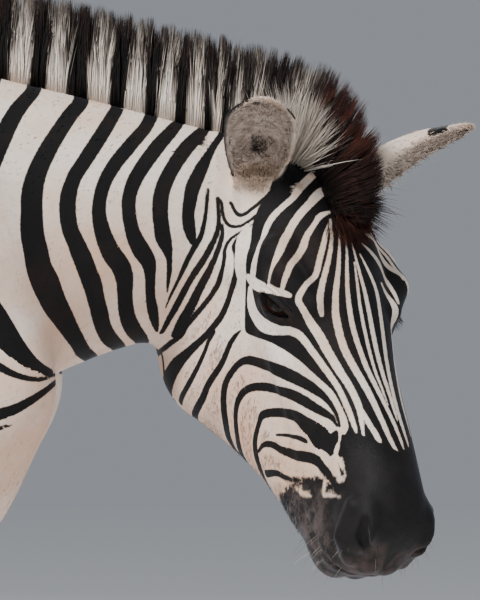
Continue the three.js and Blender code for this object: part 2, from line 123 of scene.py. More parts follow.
def ball(p, c, r):
    q, r = p - np.array(c, float), np.array(r, float)
    k0, k1 = np.sqrt(((q / r) ** 2).sum(-1)), np.sqrt(((q / r ** 2) ** 2).sum(-1))
    return k0 * (k0 - 1) / (k1 + 1e-9)


def bone(p, a, b, ra, rb, flat=1.0):
    """A round cone from a to b with round ends, narrower from side to side where flat is under 1."""
    s = np.array([1, 1 / flat, 1.0])
    a, b = np.array(a, float) * s, np.array(b, float) * s
    ba, pa = b - a, p * s - a
    l2, rr = ba @ ba, ra - rb
    a2 = l2 - rr * rr
    y = pa @ ba
    z = y - l2
    x2 = ((pa * l2 - y[..., None] * ba) ** 2).sum(-1)
    y2, z2, k = y * y * l2, z * z * l2, np.sign(rr) * rr * rr * x2
    d = (np.sqrt(x2 * a2 / l2) + y * rr) / l2 - ra
    d = np.where(np.sign(y) * a2 * y2 < k, np.sqrt(x2 + y2) / l2 - ra, d)
    return np.where(np.sign(z) * a2 * z2 > k, np.sqrt(x2 + z2) / l2 - rb, d) * math.sqrt(flat)


def head(q):
    u, n, l = q[..., 0], q[..., 1], np.abs(q[..., 2])
    s = np.stack([u, n, l], -1)
    top, under, w = (curve(u, HEAD, c) for c in (1, 2, 3))
    mid = top + (under - top) * 0.36
    d = egg(l, n - mid, w, top - mid, mid - under, 2.4, 3.1)
    d = meet(d, np.maximum(u - 494, -40 - u), 20)
    d = join(d, bone(s, (112, -34, 74), (146, -24, 80), 20, 17), 20)      # brow, over the eye
    d = join(d, bone(s, (146, -24, 80), (186, -16, 58), 17, 15), 18)
    d = join(d, ball(s, (164, -55, 68), (40, 32, 26)), 20)                # lids
    d = join(d, bone(s, (112, -36, 76), (96, -96, 84), 16, 15), 24)       # cheekbone
    d = join(d, ball(s, (122, -212, 55), (96, 98, 40)), 26)               # jowl
    d = join(d, bone(s, (190, -88, 66), (316, -88, 44), 15, 9), 22)       # crest of the cheek
    d = join(d, ball(s, (452, -58, 42), (38, 34, 18)), 16)                # nostril
    d = join(d, bone(s, (452, -112, 26), (478, -92, 14), 26, 22), 16)     # upper lip
    return join(d, ball(s, (440, -146, 14), (38, 27, 30)), 12)            # chin


def face_core(u):
    """The line inside the face that turns about it are taken from."""
    top, under = curve(u, HEAD, 1), curve(u, HEAD, 2)
    return top + (under - top) * 0.38


def face_turn(q):
    """Degrees round the face from the middle of the forehead; the left side is positive."""
    return np.degrees(np.arctan2(q[:, 2], q[:, 1] - face_core(q[:, 0])))


neck_side = lambda x, z: ease((x - 230) / 260) * (30 - 0.2 * (z - 1050))
spine_z = lambda x: curve(x, TRUNK, 2) * 0.54 + curve(x, TRUNK, 1) * 0.46


def trunk(p):
    x, y, z = p[..., 0], p[..., 1], p[..., 2]
    top, under, w = (curve(x, TRUNK, c) for c in (1, 2, 3))
    mid = under + (top - under) * 0.46
    d = egg(y - neck_side(x, z), z - mid, w, top - mid, mid - under, 1.9, 2.1)
    q = np.stack([x, np.abs(y), z], -1)
    return join(meet(d, np.maximum(x - 580, -1190 - x), 40), ball(q, (108, 62, 800), (92, 84, 140)), 30)


def foreleg(p):
    d = ball(p, (50, 118, 930), (150, 78, 230))
    d = join(d, bone(p, (160, 120, 860), (-30, 140, 800), 80, 84, 0.8), 60)
    d = join(d, bone(p, (-84, 122, 800), (-44, 122, 700), 34, 30, 0.8), 40)
    d = join(d, bone(p, (-20, 135, 780), (30, 113, 480), 82, 39, 0.82), 50)
    d = join(d, bone(p, (36, 110, 446), (38, 110, 404), 40, 35, 0.95), 22)
    d = join(d, bone(p, (32, 110, 390), (30, 110, 185), 27, 25), 24)
    d = join(d, bone(p, (14, 110, 380), (14, 110, 190), 17, 17), 14)
    d = join(d, bone(p, (24, 110, 162), (27, 110, 148), 34, 32), 16)
    return join(d, bone(p, (34, 110, 136), (66, 110, 72), 27, 34), 16)


def hindleg(p):
    d = ball(p, (-985, 112, 1000), (170, 98, 250))
    d = join(d, ball(p, (-880, 130, 830), (120, 76, 130)), 70)
    d = join(d, bone(p, (-930, 132, 810), (-1050, 120, 590), 92, 40, 0.72), 60)
    d = join(d, bone(p, (-1112, 118, 600), (-1082, 118, 500), 19, 30, 0.8), 24)
    d = join(d, bone(p, (-1046, 120, 600), (-1068, 118, 500), 37, 36, 0.84), 26)
    d = join(d, bone(p, (-1070, 118, 480), (-1052, 118, 195), 31, 27), 24)
    d = join(d, bone(p, (-1092, 118, 480), (-1072, 118, 200), 17, 17), 14)
    d = join(d, bone(p, (-1056, 118, 166), (-1050, 118, 150), 36, 33), 16)
    return join(d, bone(p, (-1042, 118, 138), (-1006, 118, 72), 27, 34), 16)


stepped = lambda p, side, step: np.stack([p[..., 0] - step * ease((900 - p[..., 2]) / 850),
                                          p[..., 1] * side, p[..., 2]], -1)
DOCK = [(-1150, 1172, 31), (-1186, 1150, 29), (-1214, 1112, 27), (-1230, 1060, 25), (-1238, 990, 23),
        (-1236, 910, 21.5), (-1228, 820, 20), (-1228, 750, 19)]


def coat(p):   # the coat's depth
    return np.where(p[..., 0] > 420, COAT_FACE, COAT_BODY)


def body_field(p):
    d = trunk(p)
    for side, k in ((1, 0), (-1, 1)):
        near = p[..., 1] * side > -60
        if near.any():
            q = p[near]
            e = join(d[near], foreleg(stepped(q, side, STEP["fore"][k])), 70)
            d[near] = join(e, hindleg(stepped(q, side, STEP["hind"][k])), 80)
    back = p[..., 0] < -1080
    if back.any():
        q, t = p[back], None
        for (x0, z0, r0), (x1, z1, r1) in zip(DOCK, DOCK[1:]):
            b = bone(q, (x0, 0, z0), (x1, 0, z1), r0, r1)
            t = b if t is None else np.minimum(t, b)
        d[back] = join(d[back], t, 26)
    feet = p[..., 2] < 140   # each pastern ends in its hoof, on a slope
    if feet.any():
        q = p[feet]
        d[feet] = meet(d[feet], 55 + HOOF_SLOPE * (q[..., 0] - foot_middle(q)) - q[..., 2], 4)
    return d


# Where the middle of each hoof's top is.
FEET = [(64 + STEP["fore"][0], 110), (64 + STEP["fore"][1], -110), (-1008 + STEP["hind"][0], 118),
        (-1008 + STEP["hind"][1], -118)]


def foot_middle(p):
    d = np.stack([np.hypot(p[..., 0] - x, p[..., 1] - y) for x, y in FEET])
    return np.array([x for x, _ in FEET])[d.argmin(0)]


# Ears: cups that open down the face.
EAR = dict(u=24.0, n=-58.0, l=66.0, long=190.0, thick=6.5)
EAR_SHAPE = np.array([  # along, half-width, depth
    [0, 24, 22], [0.15, 28, 25.5], [0.3, 36.5, 27.5], [0.45, 42, 27], [0.6, 43.5, 22], [0.74, 42, 17],
    [0.87, 31, 11], [0.95, 18, 8], [1, 6, 5]])


def ear_axes(side):
    out = face_way([-0.18, 0.86, 0.48 * side])
    out /= np.linalg.norm(out)
    front = face_way([0.944, 0.01, 0.33 * side])
    front -= out * (front @ out)
    front /= np.linalg.norm(front)
    return from_face([EAR["u"], EAR["n"], EAR["l"] * side]), out, front, np.cross(out, front) * side


def to_ear(p, side):   # along 0..1, across, front
    root, out, front, across = ear_axes(side)
    q = p - root
    t = q @ out / EAR["long"]
    return t, q @ across, q @ front + 14 * np.sin(np.pi * np.clip(t, 0, 1))


def ear(p, side):
    t, a, b = to_ear(p, side)
    w, h = curve(t, EAR_SHAPE, 1) - 1, curve(t, EAR_SHAPE, 2) - 1
    th = EAR["thick"] + 3 * (1 - ease(t / 0.4))
    outer = meet(egg(a, b, w, h, h, 2.0, 2.0), b - 0.22 * h, 4)
    inner = egg(a, b - 0.2 * h, w - th, h * 1.6, h * 1.2 - th, 2.0, 2.0)
    inner = meet(inner, (0.2 - t) * EAR["long"], 8)
    d = meet(outer, -inner, 2)
    return meet(d, np.maximum((t - 1) * EAR["long"] + 2, -(t + 0.12) * EAR["long"]), 5)


# The eye's own directions: along its slit, across it, and out.
EYE_WAYS = np.array([[0.834, 0.471, -0.29], [-0.492, 0.871, 0.0], [0.253, 0.143, 0.957]])


def to_eye(q):
    v = np.stack([q[..., 0] - EYE["u"], q[..., 1] - EYE["n"], np.abs(q[..., 2]) - EYE["l"]], -1)
    return v @ EYE_WAYS[0], v @ EYE_WAYS[1], v @ EYE_WAYS[2]


def upper_lid(x):
    """The upper lid's height, with x from 0 at the slit's one end to 1 at the other."""
    return 1.0 + 6.6 * np.sin(np.pi * x ** 0.8) ** 0.8 - 3.5 * x


def face_detail(q, d):
    """Lids, nostrils, lips and the small forms of the face, on the face's field."""
    u, n, l = q[..., 0], q[..., 1], np.abs(q[..., 2])
    s = np.stack([u, n, l], -1)
    a, b, out = to_eye(q)
    r = np.sqrt(a * a + b * b + out * out)
    near = r < 60
    # lids wrapped over the ball, open in an almond that ends in the tear duct
    lid = np.where(near, r - (EYE["r"] + 4.2), 60)
    d = join(d, lid, 8)
    a = a - 2
    x = np.clip((a + 24) / 49, 0, 1)
    upper = upper_lid(x)
    under = -0.5 - 10.5 * np.sin(np.pi * x ** 1.05) ** 0.9 - 3.0 * x
    slit = np.maximum(np.maximum(b - upper, under - b), np.maximum(-24 - a, a - 25))
    slit = np.where(near & (out > 0), np.maximum(slit, EYE["r"] - 4 - r), 60)
    d = meet(d, -slit, 1.6)
    fold = lambda centre, width, depth: depth * np.exp(-((centre) / width) ** 2)
    front = near & (out > 0)
    # creases of the upper lid
    d = d + np.where(front, fold(b - upper - 6, 1.9, 1.6) * ease((30 - np.abs(a)) / 8), 0)
    d = d + np.where(front, fold(b - upper - 12 + 0.05 * a, 1.8, 1.1) * ease((26 - np.abs(a)) / 8), 0)
    # bag under the eye
    d = d + np.where(front, fold(b - under + 7.5, 2.2, 0.9) * ease((22 - np.abs(a)) / 10), 0)
    d = d + np.where(front, fold(b - under + 13, 2.0, 0.5) * ease((20 - np.abs(a)) / 10), 0)
    # nostril: a comma that opens forwards, with a raised wing behind it
    rim = join(bone(s, (438, -46, 51), (462, -76, 51), 9, 10),
               bone(s, (462, -76, 51), (479, -92, 38), 10, 8), 8)
    d = join(d, rim - 1.5, 8)
    hole = join(bone(s, (463, -35, 53), (476, -48, 51), 5.5, 7.5),
                bone(s, (476, -48, 51), (489, -64, 33), 7.5, 4.5), 6)
    d = meet(d, -hole, 3.5)
    # mouth: a groove round the upper lip, deepest at its corner
    v = np.clip((u - 388) / 95, 0, 1)
    seam = n - (-140 + 22 * v ** 1.5)
    d = d + np.where((u > 380) & (n < -90), 4.2 * np.exp(-(seam / 2.6) ** 2) * ease((u - 384) / 16), 0)
    for k, (du, dn) in enumerate(((0, 7), (-5, 15), (3, -9), (-4, -18))):    # wrinkles at its corner
        ring = np.hypot((u - 402 - du) * 0.8, n + 140 - dn) - 15 - 2.5 * k
        d = d + np.where(l > 20, 0.9 * np.exp(-(ring / 2.2) ** 2) * ease((408 - u) / 14)
                         * ease((u - 370) / 14), 0)
    # vein and muscles of the cheek
    raised = 1.6 * np.exp(-((n + 96 + (u - 200) * 0.16) / 7) ** 2) * ease((u - 205) / 40)
    sunk = 1.5 * np.exp(-((n + 118 + (u - 220) * 0.1) / 9) ** 2) * ease((u - 230) / 50)
    return d - raised * ease((372 - u) / 50) + sunk * ease((390 - u) / 60)


def head_field(p):
    q = to_face(p)
    d = np.full(p.shape[:-1], 400.0)
    near = (np.abs(q[..., 2]) < 160) & (q[..., 1] < 90) & (q[..., 0] > -120)
    d[near] = face_detail(q[near], head(q[near]) + COAT_FACE)
    d = join(trunk(p) + coat(p), d, 50)
    for side in (1, -1):
        t, a, b = to_ear(p, side)
        k = (t > -0.25) & (t < 1.15) & (np.abs(a) < 80) & (np.abs(b) < 90)
        if k.any():
            d[k] = join(d[k], ear(p[k], side), 13)
    return d


rear_field = lambda p: body_field(p) + COAT_BODY


# ------------------------------------------------------------------ meshing
def nets(f, lo, hi, h):
    """Quads over the zero of f: one point in each cell that it crosses."""
    lo, hi = np.array(lo, float), np.array(hi, float)
    step = 4
    n = (np.ceil((hi - lo) / (h * step)).astype(int)) * step + 1
    rough = np.stack(np.meshgrid(*[lo[i] + h * step * np.arange((n[i] - 1) // step + 1) for i in range(3)],
                                 indexing="ij"), -1)
    d = f(rough.reshape(-1, 3)).reshape(rough.shape[:3])
    for axis in range(3):   # to the fine grid, by halves of straight lines
        d = np.moveaxis(d, axis, 0)
        t = np.arange((d.shape[0] - 1) * step + 1) / step
        i = np.minimum(t.astype(int), d.shape[0] - 2)
        d = d[i] + (d[i + 1] - d[i]) * (t - i)[:, None, None]
        d = np.moveaxis(d, 0, axis)
    band = np.argwhere(np.abs(d) < h * step * 1.15)
    for part in np.array_split(band, max(1, len(band) // 200000)):
        d[tuple(part.T)] = f(lo + part * h)
    s = d < 0
    total = sum(s[i:s.shape[0] - 1 + i, j:s.shape[1] - 1 + j, k:s.shape[2] - 1 + k].astype(np.int8)
                for i in (0, 1) for j in (0, 1) for k in (0, 1))
    cells = np.argwhere((total > 0) & (total < 8))
    index = np.full(total.shape, -1)
    index[tuple(cells.T)] = np.arange(len(cells))
    corner = [np.array(c) for c in np.ndindex(2, 2, 2)]
    value = [d[tuple((cells + c).T)] for c in corner]
    total, count = np.zeros((len(cells), 3)), np.zeros(len(cells))
    for a in range(8):
        for b in range(a + 1, 8):
            if np.abs(corner[a] - corner[b]).sum() == 1:
                cross = (value[a] < 0) != (value[b] < 0)
                t = np.where(cross, value[a] / np.where(cross, value[a] - value[b], 1), 0)
                total += np.where(cross[:, None], corner[a] + (corner[b] - corner[a]) * t[:, None], 0)
                count += cross
    points = lo + h * (cells + total / count[:, None])
    quads = []
    for axis in range(3):
        one = np.eye(3, dtype=int)
        b, c = one[(axis + 1) % 3], one[(axis + 2) % 3]
        first = s[tuple(slice(0, s.shape[i] - one[axis][i]) for i in range(3))]
        second = s[tuple(slice(one[axis][i], s.shape[i]) for i in range(3))]
        e = np.argwhere(first != second)
        e = e[((e - b - c) >= 0).all(1) & (e < np.array(index.shape)).all(1)]
        q = np.stack([index[tuple((e - b - c).T)], index[tuple((e - c).T)], index[tuple(e.T)],
                      index[tuple((e - b).T)]], 1)
        flip = ~first[tuple(e.T)]
        q[flip] = q[flip][:, ::-1]
        quads.append(q[(q >= 0).all(1)])
    return points, np.concatenate(quads)


def slope(f, p, e=0.8):
    k = np.array([[1, -1, -1], [-1, -1, 1], [-1, 1, -1], [1, 1, 1]], float)
    return sum(v * f(p + v * e)[:, None] for v in k) / (4 * e)


def settle(f, p, times=3, most=3.0):
    """Moves points onto the zero of f."""
    for _ in range(times):
        g = slope(f, p)
        move = -f(p)[:, None] * g / np.maximum((g * g).sum(1, keepdims=True), 0.05)
        p = p + move * np.minimum(1, most / (np.linalg.norm(move, axis=1, keepdims=True) + 1e-9))
    return p


def unit(v):
    return v / (np.linalg.norm(v, axis=-1, keepdims=True) + 1e-12)


COLLECTION = bpy.context.scene.collection


def mesh_of(points, faces):
    m = bpy.data.meshes.new("mesh")
    m.from_pydata(points.tolist(), [], faces.tolist() if isinstance(faces, np.ndarray) else faces)
    return m


def show(name, mesh, material=None, smooth=True):
    mesh.name = name
    o = bpy.data.objects.new(name, mesh)
    COLLECTION.objects.link(o)
    if material:
        mesh.materials.append(material)
    if smooth:
        mesh.polygons.foreach_set("use_smooth", [True] * len(mesh.polygons))
    return o


# ------------------------------------------------------------------ camera, first
EYE_POINT = np.array([452.0, -7000.0, 1270.0])
AIM = np.array([452.0, -60.0, 965.0])
SEEN, FILM = 566.4, 36.0   # how wide the view is at the head, and behind the lens
cam = bpy.data.cameras.new("camera")
cam.sensor_fit, cam.sensor_width = "HORIZONTAL", FILM
cam.lens = FILM * 6950 / SEEN
camera = bpy.data.objects.new("camera", cam)
COLLECTION.objects.link(camera)
camera.location = in_frame(EYE_POINT)
camera.rotation_euler = Vector(AIM - EYE_POINT).to_track_quat("-Z", "Y").to_euler()
cam.clip_end = 100
bpy.context.scene.camera = camera

# ------------------------------------------------------------------ the skin
rear = nets(rear_field, (-1300, -292, 28), (SEAM + 16, 292, 1320), 8.0)
fore = nets(head_field, (SEAM - 8, -345, 600), (800, 225, 1345), 3.8)
rear = settle(rear_field, rear[0], 2), rear[1]
fore = settle(head_field, fore[0], 2, 2.0), fore[1]


def clipped(points, faces, at, keep_low):
    bm = bmesh.new()
    m = mesh_of(points, faces)
    bm.from_mesh(m)
    bpy.data.meshes.remove(m)
    bmesh.ops.bisect_plane(bm, geom=bm.verts[:] + bm.edges[:] + bm.faces[:], dist=0.05, plane_co=(at, 0, 0),
                           plane_no=(1, 0, 0) if keep_low else (-1, 0, 0), clear_outer=True)
    # only the largest piece
    bm.verts.ensure_lookup_table()
    seen, best = set(), []
    for v in bm.verts:
        if v in seen:
            continue
        seen.add(v)
        group, todo = [v], [v]
        while todo:
            for e in todo.pop().link_edges:
                for w in e.verts:
                    if w not in seen:
                        seen.add(w)
                        group.append(w)
                        todo.append(w)
        best = max(best, group, key=len)
    drop = set(bm.verts) - set(best)
    bmesh.ops.delete(bm, geom=list(drop), context="VERTS")
    m = bpy.data.meshes.new("half")
    bm.to_mesh(m)
    bm.free()
    return m


bm = bmesh.new()
bm.from_mesh(clipped(*rear, SEAM, True))
bm.from_mesh(clipped(*fore, SEAM + 3, False))
edges = [e for e in bm.edges if e.is_boundary and abs(e.verts[0].co.x - SEAM) < 6]
bmesh.ops.bridge_loops(bm, edges=edges)
bm.verts.ensure_lookup_table()


def refine(bm, where, field):
    """Halves the edges of the faces that lie in `where`, and settles the new points."""
    p = np.array([v.co for v in bm.verts])
    inside = where(p)
    bm.verts.index_update()
    edges = [e for e in bm.edges if inside[e.verts[0].index] and inside[e.verts[1].index]]
    bmesh.ops.subdivide_edges(bm, edges=edges, cuts=1, use_grid_fill=True)
    p = np.array([v.co for v in bm.verts])
    k = where(p) | (np.arange(len(p)) >= len(inside))
    p[k] = settle(field, p[k], 2, 1.5)
    for v, c in zip(bm.verts, p):
        v.co = c
    bm.verts.ensure_lookup_table()


def at_eye(p):
    q = to_face(p)
    a, b, out = to_eye(q)
    return (np.sqrt(a * a + b * b + out * out) < 44) & (out > 0) & (p[:, 0] > SEAM + 20)


refine(bm, lambda p: (to_face(p)[:, 0] > 10) & (p[:, 0] > SEAM + 20), head_field)
refine(bm, at_eye, head_field)
refine(bm, lambda p: (p[:, 2] < 560) & (p[:, 0] < 250), rear_field)
refine(bm, lambda p: (p[:, 0] > 60) & (p[:, 0] < SEAM + 1) & (p[:, 2] > 740), rear_field)   # chest and neck
bmesh.ops.recalc_face_normals(bm, faces=bm.faces[:])
mesh = bpy.data.meshes.new("skin")
bm.to_mesh(mesh)
bm.free()

# ------------------------------------------------------------------ stripes
# A stripe is a line on the coat with a half-width at each of its points. On the face a point is given by
# its way down the face and its turn about it, in degrees from the forehead. On neck and trunk it is given
# by x and the turn from the crest.
def outward(field, o, d, far=420):
    """Where lines from points o inside the field, along d, leave it."""
    a, b = np.zeros(len(o)), np.full(len(o), 9.0)
    v = field(o + d * 9)
    for _ in range(160):
        go = (v < 0) & (b < far)
        if not go.any():
            break
        a[go] = b[go]
        b[go] += np.clip(-v[go] * 0.7, 1.5, 18)
        v[go] = field(o[go] + d[go] * b[go, None])
    for _ in range(9):
        m = (a + b) / 2
        inside = field(o + d * m[:, None]) < 0
        a, b = np.where(inside, m, a), np.where(inside, b, m)
    return o + d * ((a + b) / 2)[:, None]


def on_face(q):
    u, turn = q[:, 0], np.radians(q[:, 1])
    o = from_face(np.stack([u, face_core(u), 0 * u], -1))
    return outward(head_field, o, face_way(np.stack([0 * u, np.cos(turn), np.sin(turn)], -1)))


def on_trunk(q):
    x, turn = q[:, 0], np.radians(q[:, 1])
    z = spine_z(x)
    o = np.stack([x, neck_side(x, z), z], -1)
    d = np.stack([0 * x, -np.sin(turn), np.cos(turn)], -1)
    p = np.empty_like(o)
    k = x > SEAM
    p[k] = outward(head_field, o[k], d[k])
    p[~k] = outward(rear_field, o[~k], d[~k])
    return p


def smooth(points, count):
    """A curve through the points, with as many steps between each two."""
    p = np.asarray(points, float)
    p = np.concatenate([2 * p[:1] - p[1:2], p, 2 * p[-1:] - p[-2:-1]])
    t = np.linspace(0, 1, count, endpoint=False)[:, None]
    out = [0.5 * (2 * b + (c - a) * t + (2 * a - 5 * b + 4 * c - d) * t ** 2
                  + (3 * b - a - 3 * c + d) * t ** 3)
           for a, b, c, d in zip(p[:-3], p[1:-2], p[2:-1], p[3:])]
    return np.concatenate(out + [p[-2:-1]])


class Lines:
    """Many stripes laid on the coat, and how deep a point lies in the nearest of them."""
    def __init__(self):
        self.points, self.widths = [], []

    def add(self, cast, stripes, mirror=False, count=10):
        for s in stripes:
            q = smooth(s, count)
            q[:, 2] = np.maximum(q[:, 2], 0.3)
            for way in ((1, -1) if mirror else (1,)):
                self.points.append(cast(q[:, :2] * (1, way)))
                self.widths.append(q[:, 2])

    def ready(self):
        ends = np.cumsum([len(p) for p in self.points]) - 1
        self.points, self.widths = np.concatenate(self.points), np.concatenate(self.widths)
        self.next = np.arange(1, len(self.points) + 1)
        self.next[ends] = ends
        self.tree = kdtree.KDTree(len(self.points))
        for i, p in enumerate(self.points):
            self.tree.insert(p, i)
        self.tree.balance()

    def depth(self, p, reach=60.0):
        find = self.tree.find_n
        near = np.array([[j for _, j, _ in find(q, 7)] for q in p.tolist()], int).reshape(-1, 7)
        out = np.full(len(p), -reach)
        for k in range(0, len(p), 40000):
            q, j = p[k:k + 40000, None], near[k:k + 40000]
            for a in (j, np.maximum(j - 1, 0)):   # the pieces of stripe on both sides of each near point
                b = self.next[a]
                way = self.points[b] - self.points[a]
                t = np.clip(((q - self.points[a]) * way).sum(-1) / ((way ** 2).sum(-1) + 1e-9), 0, 1)
                far = np.linalg.norm(q - self.points[a] - way * t[..., None], axis=-1)
                wide = self.widths[a] + (self.widths[b] - self.widths[a]) * t
                out[k:k + 40000] = np.maximum(out[k:k + 40000], (wide - far).max(1))
        return out


CHEEK = [
    [(20, -83, 2), (40, -83.5, 2.2), (50, -80, 2.2), (54.5, -73, 2), (54, -66, 2), (51.5, -58, 2.5),
     (49, -51, 3)],
    [(25, -78.5, 2), (37, -76, 2.5), (43.5, -71, 2.5), (40, -61, 2.5), (34, -51, 3), (29, -41, 3)],
    [(59.5, -60, 0.6), (61, -70, 1.5), (64, -80, 2), (73, -85, 2.6), (83, -86, 3.2), (92, -89, 3.6),
     (99, -96, 3.8), (108, -107, 3.6), (117, -119, 3.4), (123, -128, 3.4), (127, -134, 3.5),
     (124, -142, 3.5), (118, -148, 3), (111, -154, 3)],
    [(66, -76, 1), (75, -78.5, 2.8), (90, -76.5, 3), (105, -78.5, 3.6), (112, -84, 4.4), (118, -93, 4.4),
     (128, -101, 4.6), (137, -110, 4.8), (142, -120, 4.6), (145, -128, 4.8), (146, -138, 6),
     (146, -148, 10), (148, -158, 14)],
    [(147, -119, 3), (152, -125, 3), (159, -130, 3.2), (168, -138, 3.6), (175, -147, 4), (178, -157, 4)],
    [(166, -98.5, 1), (167.5, -106, 3), (172, -114, 3.8), (184, -127, 4.2), (192, -140, 4.6),
     (199, -148.5, 5), (200, -157, 5), (197, -164, 5)],
    [(282, -176, 8), (268, -170, 8), (252, -163, 8), (238, -156, 6.4), (223, -147.5, 5.2), (206, -136, 4.5),
     (199, -127, 4.3), (196, -117, 4.4), (200, -109, 5.5), (212, -100, 6.5), (225, -90, 7.5), (242, -79, 8),
     (260, -68, 7.2), (275, -60, 6.5), (290, -53.5, 5), (305, -49.5, 3.6), (322, -48, 2.6),
     (336, -49.5, 2)],
    [(274, -166, 8), (262, -158.5, 5.6), (249, -152.5, 4.6), (237, -146.5, 4), (228, -139, 4.4),
     (225, -131, 4.8), (229, -122, 5), (240, -111, 5.6), (255, -98, 6), (270, -85, 6.6), (285, -76, 6.4),
     (299, -68, 5.8), (311, -60, 5), (322, -54, 3.4), (334, -52, 2)],
    [(346, -172, 7), (326, -166, 6.5), (306, -160, 6.5), (290, -155, 5.6), (279, -150, 4.6), (271, -144, 4),
     (266, -139, 4.2), (262, -134, 5), (266, -127, 5.4), (275, -117, 5.8), (286, -105, 6.5), (297, -96, 8),
     (311, -91, 10), (327, -85, 14), (340, -78, 18), (346, -71, 17), (346, -63, 9), (342, -57, 4)],
    [(293, -134.5, 1.4), (302, -127, 2.2), (314, -115, 2.8), (322, -108, 3.6), (327, -104, 2.8)],
    [(291, -153, 2), (291, -147, 3.5), (299, -142, 4.4), (313, -138, 4.8), (327, -131, 6), (339, -120, 6.6),
     (349, -109, 6.6), (360, -101, 6.6), (374, -96, 6.6), (388, -91, 7.5), (402, -86, 9)],
    [(318, -158, 5), (330, -151, 4), (343, -147, 3.4), (355, -141, 3.6), (366, -131, 4), (375, -120, 4.2),
     (382, -109, 4), (389, -101, 3.4), (396, -95, 4)],
    [(372, -166, 5), (364, -158, 5), (356, -151, 3.5)],
]
FAR_CHEEK = [   # the left side, where the turned neck leaves more of the cheek in view
    [(-22, 62, 4), (-2, 80, 6), (20, 99, 7), (46, 118, 7), (76, 135, 6), (102, 148, 4), (116, 156, 2)],
    [(-38, 80, 4), (-16, 98, 6), (8, 115, 7), (36, 131, 7), (64, 144, 5), (84, 153, 2)],
    [(10, 60, 3), (26, 74, 5), (48, 92, 6), (74, 108, 6), (98, 122, 5), (112, 134, 4), (114, 146, 2)],
    [(-26, 138, 3), (2, 144, 5.5), (30, 149, 7), (56, 152, 7), (82, 153, 5), (104, 153, 2)],
    [(22, 168, 2), (38, 170.5, 5.5), (58, 173, 6), (78, 176, 2)],
]
FAR_NECK = [
    [(452, -6, 4), (454, -30, 6), (458, -60, 7), (464, -90, 7), (464, -118, 5), (458, -140, 3)],
    [(484, -6, 4), (488, -32, 6), (496, -60, 7), (503, -88, 6), (503, -112, 3)],
    [(516, -12, 3), (524, -36, 6), (534, -62, 6), (541, -86, 3)],
]
BROW = [   # white, cut from the dark of the forehead
    [(10, -7, 4), (22, -17, 5), (35, -26, 5), (46, -31, 4), (54, -38, 4), (62, -45, 4.4), (72, -50, 4.4),
     (84, -53, 4.2), (97, -55, 4.2), (107, -57.5, 4.2), (116, -62, 4.4), (124, -67, 4)],
    [(34, -1, 4), (45, -12, 6), (58, -20, 5), (70, -27, 5), (85, -34, 5), (100, -38.5, 5),
     (118, -42.8, 4.6), (132, -47, 4.2), (142, -51, 3.6), (150, -55, 3)],
    [(43, -9, 3), (45, 1, 3), (53, 11, 3)],
    [(70, -6, 1.5), (77, -15, 3.5), (88, -20, 3), (102, -26, 3.8), (115, -29.5, 4.4), (127, -34, 4),
     (140, -38.5, 4), (152, -42, 3.6), (161, -45.5, 3), (167, -48, 2.4)],
    [(82, -9, 1.2), (102, -14.5, 2.6), (120, -18.5, 3.3), (135, -22, 3.4), (152, -26, 3.4), (162, -31, 3.2),
     (172, -36, 3.4), (182, -40.5, 4), (192, -39.5, 4.5), (206, -37.5, 5.2), (225, -35, 5.6),
     (245, -33.5, 5.4), (275, -30.5, 4.6), (300, -27.5, 4), (325, -26.5, 3.8), (345, -29, 2.4),
     (365, -31.5, 1)],
    [(85, -9, 0.8), (110, -12, 2), (130, -15.5, 2.6), (150, -20, 3), (168, -24.5, 3.6), (184, -28, 4.2),
     (196, -29.4, 4), (203, -29.6, 2.6)],
    [(98, -5.5, 0.6), (118, -8, 1.4), (140, -11, 2.4), (160, -14.2, 3), (180, -17.6, 3.6),
     (202, -20.5, 4.2), (222, -21.8, 4.4), (250, -22, 4.4), (280, -19, 4.2), (310, -15, 4), (345, -11, 3.4),
     (370, -7.5, 3), (386, -3, 1.8), (392, -1, 0.6)],
    [(110, -2.5, 0.6), (130, -4.5, 1.6), (155, -7.5, 2.4), (180, -10, 2.8), (215, -12, 3.2),
     (240, -12, 3.2), (275, -10.5, 3.2), (300, -7.5, 3), (325, -3.5, 2.8), (350, 1, 2.6), (370, 4.5, 2),
     (384, 6.5, 0.7)],
    [(140, -0.5, 1), (165, -1.8, 1.8), (200, -3.6, 2.2), (240, -4.2, 2.3), (280, -4, 2), (305, -2, 1.6),
     (325, -0.5, 0.6)],
    [(115, 1, 1), (150, 1.5, 2), (190, 2.5, 3), (240, 2.2, 3.4), (280, 2.5, 3), (310, 4, 2.5),
     (335, 5, 1.8), (345, 5.5, 0.6)],
    [(128, 5, 1), (150, 9, 2.4), (175, 12.5, 3), (205, 12.5, 3.4), (240, 11.5, 3.4), (280, 9.5, 3),
     (310, 8.8, 3), (340, 9.5, 2.8), (362, 12, 2.2), (377, 14, 0.8)],
    [(328, -26, 3), (350, -22.5, 3), (368, -19, 3), (378, -18, 1)],
    [(133, -73, 4), (148, -76, 8), (163, -76.5, 9.5), (178, -73, 9.5), (191, -67, 8), (200, -60, 6),
     (206, -53, 5.2), (216, -47.5, 4.6), (240, -43.8, 4.2), (270, -39.5, 3.8), (295, -36.5, 3.4),
     (325, -35.7, 3.3), (345, -36, 2.6), (354, -36, 0.8)],
    [(121, -70, 4.5), (129, -67.5, 7), (139, -63, 6.5), (149, -58, 6), (160, -52, 5), (168, -48, 4.4),
     (174, -44.5, 3)],
    [(60, -67, 4), (72, -72, 6.5), (85, -74, 5), (100, -75.5, 4.5), (115, -78.5, 3.5)],
]
